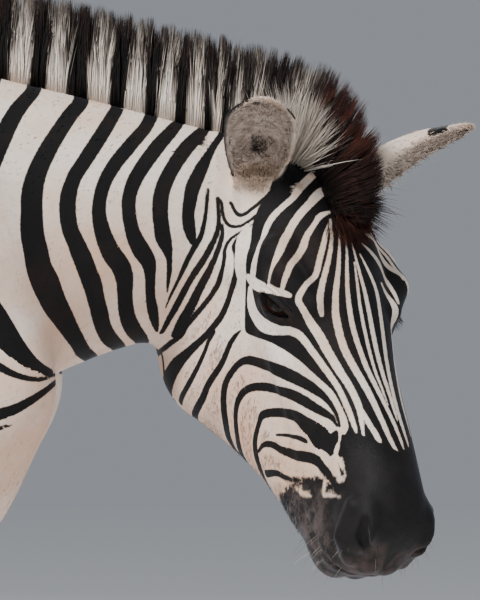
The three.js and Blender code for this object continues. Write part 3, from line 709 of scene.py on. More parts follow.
FAR_BROW = [   # the far side's own, beyond its middle
    [(112, 9, 1), (122, 16, 3.4), (133, 23, 5), (145, 27, 4.4), (160, 30, 3.4), (180, 31, 2.6)],
    [(95, 14, 3), (98, 24, 3.4), (106, 33, 3.2), (122, 37.5, 2.8), (145, 38, 2.4)],
    [(160, 20, 2.4), (175, 25, 4), (192, 28, 5), (210, 30, 5), (240, 28, 4.4), (270, 24, 4), (300, 21, 3.6),
     (330, 21, 3.2), (360, 24, 1)],
    [(205, 41, 4), (235, 37, 4), (265, 33, 3.6), (300, 30, 3.4), (335, 31, 2.8), (352, 32, 0.8)],
]
# Pale strokes on the dark of the muzzle: the first two are painted highlights where its skin shines, the
# others pale hair.
MUZZLE_PALE_AND_GLINTS = [
    [(364, -143, 2.5), (372, -140, 4.2), (380, -136, 4.2), (387, -131, 2.5)],
    [(384, -104, 2.4), (392, -110, 3), (398, -112, 3.2), (403, -103, 3.6), (410, -92, 3), (416, -83, 1)],
    [(350, -92, 4), (360, -87, 6), (372, -82, 5.5), (384, -79.5, 4), (396, -78.5, 1)],
    [(370, -72, 2.5), (362, -66, 3.6), (357, -61, 3), (354, -57.5, 1)],
    [(368, -68, 2.6), (378, -65.5, 3.2), (387, -65, 2.4), (394, -65, 0.6)],
]
NECK = [
    [(263, 0, 9), (263, 10, 9.5), (250, 20, 9.5), (236, 30, 10), (223, 40, 11), (213, 50, 12),
     (208.5, 60, 14), (208.5, 70, 15), (209, 80, 17), (213, 90, 18), (217, 100, 19), (225, 110, 20),
     (233, 120, 18), (243, 130, 15), (252, 140, 12), (260, 150, 10), (266, 160, 9.5), (273, 170, 9),
     (276, 180, 8)],
    [(306, 0, 8), (306, 10, 8), (297, 20, 8.5), (284, 30, 9), (270, 40, 9), (257, 50, 9), (251, 60, 10),
     (250, 70, 10.5), (253, 80, 10.5), (260, 90, 11), (267, 100, 12), (273, 110, 12), (279, 120, 12),
     (283, 130, 11), (287, 140, 11), (291, 150, 10), (298, 160, 10), (306, 170, 9), (309, 180, 8)],
    [(347, 0, 8), (347, 10, 8), (340, 20, 8), (323, 30, 8.5), (306, 40, 8.5), (294, 50, 8.5),
     (288, 60, 8.5), (286.5, 70, 9), (289, 80, 10), (294, 90, 11), (301, 100, 12), (311, 110, 12),
     (316, 120, 11.5), (316.5, 130, 10), (317, 140, 10), (320, 150, 10), (326, 160, 10), (333, 170, 9),
     (336, 180, 8)],
    [(382, 0, 6.5), (381, 10, 6.5), (371, 20, 8), (354, 30, 9), (338.5, 40, 9), (327, 50, 9),
     (321.5, 60, 8.8), (321.5, 70, 9), (324, 80, 9), (328.5, 90, 10), (336, 100, 11), (344, 110, 9.5),
     (346, 120, 7.5), (346, 130, 6.5), (346.5, 140, 6.5), (349, 150, 7), (351.5, 160, 5), (353.5, 168, 2)],
    [(414, 0, 5.5), (413, 10, 5.5), (404, 20, 8), (387, 30, 9), (373, 40, 9), (363, 50, 9.5),
     (358.5, 60, 10), (358, 70, 10), (359.5, 80, 10), (361.5, 90, 10), (366, 100, 7), (368.5, 110, 4),
     (368.5, 120, 3.5), (367, 130, 2.5), (366, 138, 1)],
    [(433, 0, 3.5), (430, 18, 4), (417, 30, 5), (406, 40, 8), (397, 50, 9), (393, 60, 8.5), (391, 70, 8),
     (392, 80, 8), (395, 90, 6), (396, 95, 3.5)],
    [(414, 52, 2.5), (411.7, 68, 2.5), (409, 80, 3), (405, 90, 3.5), (398, 100, 3.8), (391, 110, 3.5),
     (385, 120, 3.3), (378.6, 130, 2.5), (371, 140, 2), (364, 150, 1)],
    [(425.7, 58, 2.5), (426.6, 70, 2.5), (426.5, 80, 3), (423, 90, 3.5), (417, 100, 4), (410, 110, 4),
     (401.5, 120, 4.5), (393, 130, 4), (385, 140, 4.5), (376.5, 150, 4.5), (367, 160, 4), (358.5, 170, 3)],
    [(431.4, 80, 2), (430.6, 90, 3), (426.6, 100, 3.5), (421.4, 110, 4), (415.7, 120, 4.5), (408.6, 130, 5),
     (401, 140, 5.5), (393, 150, 6), (383, 160, 6), (374.5, 170, 5)],
    # shoulder
    [(208, 0, 9), (206, 10, 9), (188, 22, 10), (174, 32, 11), (160, 45, 12), (149, 60, 13), (143, 75, 14),
     (141, 90, 16)],
    [(160, 0, 10), (157, 10, 10), (138, 24, 12), (120, 38, 14), (104, 52, 15), (93, 66, 16), (88, 80, 15),
     (88, 90, 15)],
    [(98, 0, 10), (94, 12, 11), (78, 28, 14), (60, 44, 16), (46, 60, 17), (39, 74, 16), (40, 88, 16)],
]


def on_side(q):   # x and height; a negative height is on the left
    x, z, side = q[:, 0], np.abs(q[:, 1]), -np.sign(q[:, 1])
    y = np.full(len(q), 340.0)
    for _ in range(120):
        v = rear_field(np.stack([x, side * y, z], -1))
        y = np.maximum(y - np.clip(v * 0.8, 0.02, 18) * (v > 0), 0)
    return np.stack([x, side * y, z], -1)


def barrel():
    """Broad bands down the barrel, some of them forked low on the flank."""
    out = []
    for i in range(9):
        x = 34 - 63 * i + 5 * math.sin(i * 2.3)
        wide = 18.5 + 3 * math.sin(i * 1.7 + 1)
        low = (112, 118, 134, 160, 158, 159, 157, 158, 156)[i]
        s = [(x + 14, 1.5, 5), (x + 11, 8, wide * 0.6), (x + 3 * math.sin(i), 24, wide * 0.86)]
        s += [(x - (6 + 3 * i) * t + 5 * math.sin(3.1 * t + i * 1.9), 24 + (low - 24) * t,
               max(wide * (1.08 - 0.72 * t ** 1.8), 4)) for t in np.linspace(0.15, 1, 8)]
        out.append(s)
        if i in (3, 6):
            x -= 6 + 3 * i
            out.append([(x - 2, 92, 6), (x - 16, 106, 8), (x - 28, 124, 7), (x - 32, 148, 3)])
    return out


HAUNCH = [
    [(-570, 1258, 6), (-574, 1200, 15), (-586, 1080, 20), (-600, 960, 20), (-612, 840, 17), (-618, 750, 12),
     (-621, 690, 7)],
    [(-652, 1266, 6), (-662, 1215, 15), (-668, 1120, 19), (-671, 1020, 20), (-676, 920, 19),
     (-682, 820, 16), (-688, 745, 11), (-694, 702, 6)],
    [(-768, 1277, 5), (-762, 1230, 14), (-750, 1150, 18), (-741, 1060, 21), (-737, 960, 21),
     (-738, 870, 18), (-742, 790, 14), (-748, 735, 8)],
    [(-902, 1280, 5), (-880, 1240, 12), (-850, 1170, 18), (-825, 1090, 22), (-808, 1000, 23),
     (-798, 915, 21), (-794, 840, 17), (-795, 780, 12), (-800, 735, 7)],
    [(-1050, 1240, 5), (-1008, 1203, 13), (-960, 1140, 20), (-920, 1062, 24), (-888, 985, 24),
     (-866, 905, 22), (-853, 835, 18), (-848, 780, 13), (-850, 736, 8)],
    [(-1168, 1142, 8), (-1120, 1105, 16), (-1060, 1045, 22), (-1005, 975, 24), (-962, 900, 23),
     (-932, 830, 19), (-915, 770, 15), (-908, 728, 9)],
    [(-1186, 1052, 12), (-1140, 1010, 18), (-1085, 955, 23), (-1035, 890, 23), (-1000, 828, 20),
     (-978, 772, 15), (-965, 728, 9)],
    [(-1184, 962, 12), (-1145, 920, 18), (-1100, 870, 21), (-1060, 815, 19), (-1032, 765, 15),
     (-1015, 725, 10)],
    [(-1170, 880, 12), (-1135, 838, 17), (-1100, 795, 17), (-1074, 755, 13)],
]


BREAST = [   # where the shoulder's bands run in under the neck
    [(141, 991, 16), (152, 968, 19), (169, 944, 19), (192, 914, 15), (214, 894, 9), (233, 884, 3)],
    [(88, 988, 15), (98, 960, 14), (118, 928, 12), (142, 908, 8.5), (169, 895, 5.5), (192, 883, 4),
     (216, 877, 3), (236, 880, 2)],
    [(40, 984, 16), (46, 945, 16), (62, 905, 14), (90, 868, 10), (126, 843, 9), (160, 836, 8),
     (190, 843, 6.5), (216, 857, 5), (236, 871, 3.5), (250, 882, 2)],
    [(70, 838, 5), (96, 818, 5), (130, 812, 4.2), (165, 819, 3.2), (186, 825, 2)],
]


def legs_depth(p):
    """Bands round the legs: wide on thigh and forearm, thin and broken lower down."""
    d = np.full(len(p), -60.0)
    x, y, z = p.T
    wave = 5 * np.sin(x * 0.045 + y * 0.03) + 3 * np.sin(y * 0.09 + z * 0.02)
    hind = (x < -500) & (z < 742)
    fore = (x > -500) & (z < 838)
    broken = 2.2 * np.sin(y * 0.13 + z * 0.021 + x * 0.05)
    for i in range(12):
        t = i / 11
        level = 700 - 50 * i * (1 - 0.18 * t)
        wide = 13.5 * (1 - t) ** 1.2 + 2.6
        tilt = 0.5 * (1 - t) ** 2.2
        k = hind & (x < -770)
        d[k] = np.maximum(d[k], wide + broken[k] * (0.4 + t)
                          - np.abs(z[k] - level - tilt * (x[k] + 1030) - wave[k]))
    for i in range(14):
        t = i / 13
        level = 806 - 51 * i * (1 - 0.14 * t)
        wide = 10.5 * (1 - t) + 2.8
        off = np.abs(x - 12)
        k = fore & (off < 130)
        bend = 0.55 * (1 - t) ** 2 * off[k]
        d[k] = np.maximum(d[k], wide + broken[k] * (0.3 + t) - 0.16 * np.maximum(off[k] - 55, 0)
                          - np.abs(z[k] - level + bend - wave[k] * 0.6))
    # the dock's rings
    tail = (x < -1192) & (np.abs(y) < 45)
    for i in range(10):
        ring = 1136 - 40 * i - 0.3 * (x[tail] + 1230) * (i < 2) + 0.5 * np.abs(y[tail])
        d[tail] = np.maximum(d[tail], 4.4 - 0.1 * i - np.abs(z[tail] - ring))
    d[tail] = np.maximum(d[tail], 3.2 - np.abs(y[tail]) - 40 * (x[tail] > -1215))
    return d


def between(a, b):
    """A thin stroke midway between two bands."""
    n = min(len(a), len(b))
    return [((p[0] + q[0]) / 2, (p[1] + q[1]) / 2, min(p[2], q[2]) * 0.22)
            for p, q in zip(a[1:n - 1], b[1:n - 1])]


black, white, pale_and_glints = Lines(), Lines(), Lines()
black.add(on_face, CHEEK, mirror=True)
black.add(on_face, [[(-14, -52, 9), (-6, -36, 12), (0, -18, 14)], [(12, -40, 5), (14, -28, 6)]],
          mirror=True)
black.add(on_face, FAR_CHEEK)
black.add(on_trunk, NECK, mirror=True)
black.add(on_trunk, FAR_NECK)
black.add(on_trunk, barrel(), mirror=True, count=8)
black.add(on_side, HAUNCH, mirror=True, count=8)
black.add(on_side, BREAST, mirror=True, count=40)
shadow = Lines()   # faint brown lines between the broad bands of the rump
shadow.add(on_side, [between(a, b) for a, b in zip(HAUNCH[2:], HAUNCH[3:])], mirror=True)
shadow.ready()
white.add(on_face, BROW)
white.add(on_face, [[(u, -t, w) for u, t, w in s] for s in BROW if min(t for _, t, _ in s) < -45])
white.add(on_face, FAR_BROW)
pale_and_glints.add(on_face, MUZZLE_PALE_AND_GLINTS, mirror=True)
for group in (black, white, pale_and_glints):
    group.ready()
EDGE = np.array([  # u, degrees: how far the dark of the forehead reaches
    [0, 40], [20, 45], [40, 56], [60, 62], [88, 64.5], [100, 66.5], [110, 69], [118, 72], [124, 75.5],
    [135, 80], [150, 86], [163, 92], [172, 95], [185, 87], [200, 76], [215, 68], [237, 59], [260, 52],
    [280, 46], [295, 42], [320, 40.4], [340, 41], [348, 46], [360, 70]], float)
SNOUT = np.array([  # degrees, u: where the dark of the muzzle begins
    [0, 386], [20, 372], [35, 356], [45, 351], [52, 348], [58, 366], [66, 392], [78, 396], [90, 394],
    [100, 385], [110, 375], [122, 367], [135, 361], [148, 355], [160, 352], [180, 348]], float)


def depth(p):
    """How far inside a dark stripe a point of the coat lies, in millimetres; less than zero is white."""
    d = black.depth(p)
    body = p[:, 0] < 150
    d[body] = np.maximum(d[body], legs_depth(p[body]))
    cap = p[:, 2] - 75 - HOOF_SLOPE * (p[:, 0] - foot_middle(p))   # a dark edge over each hoof
    low = p[:, 2] < 140
    d[low] = np.maximum(d[low], 6 - cap[low])
    q = to_face(p)
    u, turn = q[:, 0], face_turn(q)
    radius = np.hypot(q[:, 2], q[:, 1] - face_core(u))
    face = (p[:, 0] > FACE_FROM) & (u > -20) & (u < 600)
    edge = (curve(u, EDGE, 1) - np.abs(turn)) * radius * math.pi / 180
    edge = np.minimum(edge, (u + 4) * 1.0)
    d[face] = np.maximum(d[face], edge[face])
    cut = white.depth(p[face])
    d[face] = np.minimum(d[face], -cut)
    snout = u - curve(np.abs(turn), SNOUT, 1)
    d[face] = np.maximum(d[face], snout[face])
    # pale strokes lighten the muzzle's dark: pale hair, and painted highlights where its skin shines
    d[face] = np.minimum(d[face], -pale_and_glints.depth(p[face]))
    for side in (1, -1):
        t, a, b = to_ear(p, side)
        near = (t > 0.06) & (t < 1.1) & (np.abs(a) < 70) & (np.abs(b) < 70)
        t, a, b = t[near], a[near], b[near]
        w, h = curve(t, EAR_SHAPE, 1), curve(t, EAR_SHAPE, 2)
        back = np.clip((0.1 * h - b) / 6, -1, 1)
        e = np.minimum(11 - np.abs(t - 0.86 - 0.05 * a / w) * EAR["long"], back * 12)
        e = np.maximum(e, np.minimum(9 - (w - a), np.minimum(0.35 * h - b, (t - 0.2) * EAR["long"]))
                       - 60 * (t > 0.9))
        d[near] = np.where((t - 0.2) * EAR["long"] > np.abs(a) * 0.75, e, np.maximum(e, d[near]))
    spine = (np.abs(p[:, 1]) < 40) & (p[:, 2] > 1150) & (p[:, 0] < 60) & (p[:, 0] > -1170)
    d[spine] = np.maximum(d[spine], 5.5 - np.abs(p[spine, 1]))
    return d


P = np.empty(len(mesh.vertices) * 3)
mesh.vertices.foreach_get("co", P)
P = P.reshape(-1, 3)
MARK = depth(P)


def paint(mesh, name, value):
    mesh.attributes.new(name, "FLOAT", "POINT").data.foreach_set("value", np.asarray(value, np.float32))


def looks(p):
    """Where the coat is thin or bare (muzzle, lids), inside the ears, and deep in their hollows, which get
    painted shade.
    """
    q = to_face(p)
    front = p[:, 0] > FACE_FROM
    deep = np.zeros(len(p))
    bare = np.where(front, ease((q[:, 0] - curve(np.abs(face_turn(q)), SNOUT, 1)) / 26), 0)
    k = bare > 0
    # less bare grey under the pale strokes, among them the painted highlights
    bare[k] *= 1 - 0.8 * ease((pale_and_glints.depth(p[k]) + 3) / 6)
    a, b, out = to_eye(q)
    lid = np.where(front & (out > -8), ease((12.5 - np.hypot((a - 4) * 0.36, b + 3.4)) / 2.5), 0)
    cup = np.zeros(len(p))
    for side in (1, -1):
        t, x, y = to_ear(p, side)
        w, h = curve(t, EAR_SHAPE, 1), curve(t, EAR_SHAPE, 2)
        k = (t > 0.05) & (t < 1.02) & (np.abs(x) < w) & (np.abs(y) < 60)
        inner = egg(x, y - 0.2 * h, w - EAR["thick"] + 2, h * 1.6, h * 1.2 - EAR["thick"] + 2, 2.0, 2.0)
        cup = np.where(k, np.maximum(cup, ease(-inner / 6 + 0.5) * ease((0.97 - t) / 0.1)
                                     * ease(((t - 0.13) * EAR["long"] - np.abs(x) * 0.75) / 8 + 0.5)), cup)
        # deep: the ear's hollow, where its colour gets near-black painted shade; below zero towards the
        # ear's root
        deep = np.where(k, np.exp(-((t - 0.33) / 0.1) ** 2 - (x / 12) ** 2) - ease((0.26 - t) / 0.08), deep)
    return bare, lid, cup, deep


paint(mesh, "mark", MARK)
BARE, LID, CUP, EAR_HOLLOW_SHADE = looks(P)
paint(mesh, "bare", BARE)
paint(mesh, "lid", LID)
paint(mesh, "cup", CUP)
paint(mesh, "deep", EAR_HOLLOW_SHADE)
rump = P[:, 0] < -650
SHADOW = np.full(len(P), -60.0)
SHADOW[rump] = shadow.depth(P[rump])
paint(mesh, "shadow", SHADOW)
FQ = to_face(P)
SNOUT_TURN = np.abs(face_turn(FQ))
FRONT = P[:, 0] > FACE_FROM
edge = FQ[:, 0] - curve(SNOUT_TURN, SNOUT, 1)
fade = np.exp(-np.where(edge < 0, edge / 9, edge / 30) ** 2)
paint(mesh, "fray", np.where(FRONT, fade * ease((SNOUT_TURN - 48) / 20), 0))
z = spine_z(P[:, 0])
neck_turn = np.degrees(np.abs(np.arctan2(P[:, 1] - neck_side(P[:, 0], z), P[:, 2] - z)))
cheek = 0.65 * np.exp(-((FQ[:, 0] - 215) / 120) ** 2) * ease((SNOUT_TURN - 70) / 50)
throat = 0.6 * ease((neck_turn - 45) / 70) * ease((P[:, 0] + 100) / 250)
belly = 0.25 * ease((neck_turn - 100) / 50) * (P[:, 0] < 50)
WARM = np.where(FRONT & (FQ[:, 0] > 20), cheek, throat + belly)
paint(mesh, "warm", WARM)
lips = ease((FQ[:, 0] - 478) / 10) * ease((SNOUT_TURN - 15) / 25)
paint(mesh, "lip", np.where(FRONT, lips * 0.4, 0))
paint(mesh, "low", ease((np.where(FRONT, -FQ[:, 1] - 70, 0)) / 60))


# ------------------------------------------------------------------ materials
class Nodes:
    """A few short words for building a material."""
    def __init__(self, name):
        self.m = bpy.data.materials.new(name)
        self.m.use_nodes = True
        self.t = self.m.node_tree
        self.bsdf = self.t.nodes["Principled BSDF"]

    def node(self, kind, inputs=None, **settings):
        n = self.t.nodes.new(kind)
        for k, v in settings.items():
            setattr(n, k, v)
        for k, v in (inputs or {}).items():
            self.set(n.inputs[k], v)
        return n

    def set(self, socket, v):
        if isinstance(v, bpy.types.NodeSocket):
            self.t.links.new(v, socket)
        elif isinstance(v, (tuple, list)) and len(v) == 3 and socket.type == "RGBA":
            socket.default_value = (*v, 1)
        else:
            socket.default_value = v

    def math(self, op, a, b):
        return self.node("ShaderNodeMath", {0: a, 1: b}, operation=op).outputs[0]

    def plus(self, a, b):
        return self.math("ADD", a, b)

    def minus(self, a, b):
        return self.math("SUBTRACT", a, b)

    def times(self, a, b):
        return self.math("MULTIPLY", a, b)

    def mix(self, f, a, b, kind="MIX"):
        n = self.node("ShaderNodeMix", data_type="RGBA", blend_type=kind)
        self.set(n.inputs[0], f)
        self.set(n.inputs[6], a)
        self.set(n.inputs[7], b)
        return n.outputs[2]

    def step(self, v, low, high):
        n = self.node("ShaderNodeMapRange", {"Value": v, "From Min": low, "From Max": high},
                      interpolation_type="SMOOTHSTEP")
        return n.outputs[0]

    def attr(self, name):
        return self.node("ShaderNodeAttribute", attribute_name=name).outputs["Fac"]

    def place(self):
        return self.node("ShaderNodeTexCoord").outputs["Object"]

    def stretched(self, where, scale, turn=(0.0, 0.0, 0.0)):
        n = self.node("ShaderNodeMapping", {"Vector": where, "Rotation": turn, "Scale": scale})
        return n.outputs[0]

    def noise(self, where, scale, detail=3.0, rough=0.55):
        inputs = {"Vector": where, "Scale": scale, "Detail": detail, "Roughness": rough}
        return self.node("ShaderNodeTexNoise", inputs).outputs["Fac"]

    def finish(self, **inputs):
        for k, v in inputs.items():
            self.set(self.bsdf.inputs[k.replace("_", " ")], v)
        return self.m


def linear(r, g, b):
    return tuple(((c / 255 + 0.055) / 1.055) ** 2.4 if c > 10 else c / 255 / 12.92 for c in (r, g, b))


def coat_colour(n, where, mark, soft=0.8, ragged=1.9, fray=0.0, warm=0.0):
    """White and near-black hair, warm on the cheeks, throat and belly, and sun-bleached brown here and
    there.
    """
    coarse = n.times(n.minus(n.noise(where, 90, 4, 0.7), 0.5), n.times(fray, 14.0))
    edge = n.plus(n.minus(n.noise(where, 260, 3), 0.5), coarse)
    soft = n.plus(soft, n.times(fray, 3.0))
    dark = n.step(n.plus(mark, n.times(edge, ragged)), n.times(soft, -1.0), soft)
    white = n.mix(n.step(n.noise(where, 7, 3), 0.3, 0.72), linear(233, 221, 209), linear(212, 181, 157))
    white = n.mix(n.times(warm, n.step(n.noise(where, 11, 3), 0.2, 0.7)), white, linear(216, 170, 142))
    white = n.mix(n.times(n.step(n.noise(where, 160, 2), 0.45, 0.8), 0.35), white, linear(182, 160, 144))
    black = n.mix(n.step(n.noise(where, 14, 3), 0.45, 0.75), linear(14, 12, 12), linear(29, 21, 18))
    return n.mix(dark, white, black)


def coat_material():
    n = Nodes("coat")
    where = n.place()
    colour = coat_colour(n, where, n.attr("mark"), fray=n.attr("fray"), warm=n.attr("warm"))
    faint = n.times(n.step(n.attr("shadow"), -2.5, 2.5),
                    n.times(n.step(n.noise(where, 20, 2), 0.3, 0.6), 0.5))
    colour = n.mix(faint, colour, linear(150, 120, 95), "MULTIPLY")
    # muzzle: black above, grey-brown and finely wrinkled towards the lips
    grey = n.mix(n.step(n.noise(where, 60, 5, 0.65), 0.38, 0.68), linear(34, 30, 30), linear(92, 82, 78))
    grey = n.mix(n.plus(n.times(n.attr("low"), 0.75), 0.04), linear(17, 15, 15), grey)
    grey = n.mix(n.times(n.attr("lip"), n.step(n.noise(where, 45, 4), 0.3, 0.65)), grey, linear(98, 80, 74))
    colour = n.mix(n.attr("bare"), colour, grey)
    # inside the ears: tan, partly their own colour and partly painted shade of the cup, with near-black
    # painted shade deep in the hollow and a lighter tan towards the root
    inner = n.mix(n.step(n.noise(where, 90, 3), 0.35, 0.7), linear(198, 181, 168), linear(150, 134, 122))
    hollow_shade = n.plus(n.attr("deep"), n.times(n.minus(n.noise(where, 75, 4), 0.5), 1.4))
    inner = n.mix(n.times(n.step(hollow_shade, 0.35, 1.1), n.step(n.attr("deep"), 0.05, 0.3)), inner,
                  linear(24, 18, 15))
    inner = n.mix(n.step(n.attr("deep"), 0.0, -0.8), inner, linear(196, 172, 146))
    colour = n.mix(n.attr("cup"), colour, inner)
    rim = n.mix(n.step(n.noise(where, 130, 3), 0.35, 0.7), linear(16, 12, 12), linear(40, 28, 25))
    colour = n.mix(n.attr("lid"), colour, rim)
    fine = n.noise(n.stretched(where, (1.0, 1.0, 0.3)), 1100, 2)
    pores = n.noise(where, 420, 3)
    fold = n.noise(n.stretched(where, (0.35, 1.0, 1.4), (0.0, 0.6, 0.0)), 110, 3)
    height = n.plus(n.times(fine, 0.6), n.times(pores, n.plus(n.times(n.attr("bare"), 0.9), 0.15)))
    height = n.plus(height, n.times(fold, n.times(n.attr("low"), n.times(n.attr("bare"), 2.4))))
    bump = n.node("ShaderNodeBump", {"Height": height, "Strength": 0.45, "Distance": 0.0012})
    rough = n.minus(0.72, n.times(n.attr("bare"), 0.1))
    return n.finish(Base_Color=colour, Roughness=rough, Normal=bump.outputs[0], Specular_IOR_Level=0.18,
                    Sheen_Weight=0.12, Sheen_Roughness=0.35, Sheen_Tint=(0.75, 0.82, 1.0))


def hair_material():
    """Long hair: its colour follows the stripe it grows from, and darkens or reddens towards its tip."""
    n = Nodes("hair")
    luck, mark, tint = n.attr("luck"), n.attr("mark"), n.attr("tint")
    dark = n.step(mark, -2.2, 2.2)
    white = n.mix(luck, linear(238, 228, 216), linear(206, 190, 174))
    black = n.mix(luck, linear(10, 8, 8), linear(22, 16, 14))
    colour = n.mix(dark, white, black)
    dusk = n.mix(luck, linear(14, 10, 10), linear(52, 33, 27))
    rust = n.mix(luck, linear(44, 22, 17), linear(104, 54, 40))
    colour = n.mix(tint, colour, n.mix(n.step(mark, 12, 18), dusk, rust))
    return n.finish(Base_Color=colour, Roughness=0.55, Specular_IOR_Level=0.22)


def eye_material():
    n = Nodes("eye")
    where = n.place()
    ring, slot = n.attr("ring"), n.attr("slot")
    iris = n.mix(n.step(n.noise(where, 500, 3), 0.35, 0.7), linear(44, 24, 14), linear(22, 12, 9))
    colour = n.mix(n.step(slot, 0.9, 1.1), (0.002, 0.002, 0.002), iris)
    colour = n.mix(n.step(ring, 0.62, 0.78), colour, linear(52, 34, 28))
    return n.finish(Base_Color=colour, Roughness=0.09, Specular_IOR_Level=0.42)


def horn_material():
    n = Nodes("horn")
    where = n.place()
    rings = n.noise(n.stretched(where, (0.25, 0.25, 3.2)), 70, 4)
    grain = n.noise(n.stretched(where, (3.0, 3.0, 0.35)), 160, 3)
    colour = n.mix(n.step(rings, 0.35, 0.68), linear(44, 37, 33), linear(86, 74, 64))
    colour = n.mix(n.times(n.step(grain, 0.4, 0.7), 0.4), colour, linear(30, 26, 24))
    bump = n.node("ShaderNodeBump", {"Height": n.plus(rings, n.times(grain, 0.5)), "Strength": 0.5,
                                     "Distance": 0.001})
    return n.finish(Base_Color=colour, Roughness=0.5, Normal=bump.outputs[0])


mesh.vertices.foreach_set("co", in_frame(P).ravel())
skin = show("skin", mesh)
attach(skin, "root")
FLESH = [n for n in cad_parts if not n.startswith(("eye", "hoof", "mane", "tail_tuft"))]
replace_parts(skin, *FLESH)

skin.data.materials.append(coat_material())
HAIR, HORN, IRIS = hair_material(), horn_material(), eye_material()


# ------------------------------------------------------------------ eyes and hooves
def rings_mesh(rings):
    """A closed skin over rings of points, from a first point to a last."""
    n = len(rings[0])
    points = np.concatenate([rings[0].mean(0)[None]] + list(rings) + [rings[-1].mean(0)[None]])
    at = lambda i, j: 1 + i * n + j % n
    faces = [(0, at(0, j + 1), at(0, j)) for j in range(n)]
    faces += [(at(i, j), at(i, j + 1), at(i + 1, j + 1), at(i + 1, j)) for i in range(len(rings) - 1)
              for j in range(n)]
    faces += [(at(len(rings) - 1, j), at(len(rings) - 1, j + 1), len(points) - 1) for j in range(n)]
    return mesh_of(in_frame(points), faces)


def eye(side):
    centre = from_face([EYE["u"], EYE["n"], EYE["l"] * side])
    out, along = (face_way(EYE_WAYS[k] * (1, 1, side)) for k in (2, 0))
    up = np.cross(out, along) * side
    rings, ring, slot = [], [0.0], [0.0]
    for a in np.linspace(0.03, math.pi - 0.03, 64):
        r = EYE["r"] + (0.9 * math.exp(-(a / 0.55) ** 4))
        t = np.linspace(0, 2 * math.pi, 64, endpoint=False)[:, None]
        rings.append(centre + r * (out * math.cos(a)
                                   + math.sin(a) * (along * np.cos(t) + up * np.sin(t) * side)))
        ring += [a] * 64
        slot += list(np.hypot(np.cos(t[:, 0]) * a / 0.42, np.sin(t[:, 0]) * a / 0.17))
    m = rings_mesh(rings)
    paint(m, "ring", ring + [3.1])
    paint(m, "slot", slot + [9.0])
    return m


for side, word in ((1, "left"), (-1, "right")):
    o = show(f"eyeball_{word}", eye(side), IRIS)
    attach(o, "root")
    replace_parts(o, f"eye_{word}")


def hoof(x, y):
    rings = []
    t = np.linspace(0, 2 * math.pi, 72, endpoint=False)
    for s in [0.0, 0.004, 0.012, 0.03] + list(np.linspace(0.06, 0.97, 34)) + [0.985, 0.995, 1.0]:
        bevel = 1 - 0.035 * (1 - min(s / 0.03, 1)) ** 2
        ridge = 0.35 * math.sin(s * 58) * math.exp(-((s - 0.6) / 0.35) ** 2)
        ridge += 1.1 * math.exp(-((s - 0.965) / 0.03) ** 2)
        if s == 1.0:
            ridge = -2.5
        a = 49 + (35 - 49) * s
        b = 44 + (34 - 44) * s
        lead = 31 * (1 - s)
        dx = lead + (a * bevel + ridge) * np.cos(t) * np.where(np.cos(t) < 0, 0.92, 1)
        dy = (b * bevel + ridge) * np.sin(t)
        z = s * (60 + HOOF_SLOPE * (dx - lead))
        notch = np.where(np.abs(t - math.pi) < 0.5, 4 * (0.5 - np.abs(t - math.pi)) * (1 - s), 0)
        rings.append(np.stack([x + dx + notch, y + dy, z], 1))
    return rings_mesh(rings)


for (x, y), name in zip(FEET, ("fore_left", "fore_right", "hind_left", "hind_right")):
    o = show(f"hoof_horn_{name}", hoof(x, y), HORN)
    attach(o, "root")
    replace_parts(o, f"hoof_{name}")


# ------------------------------------------------------------------ hair
PATCH = 0.003   # how far a strand's own patch of the bake map reaches


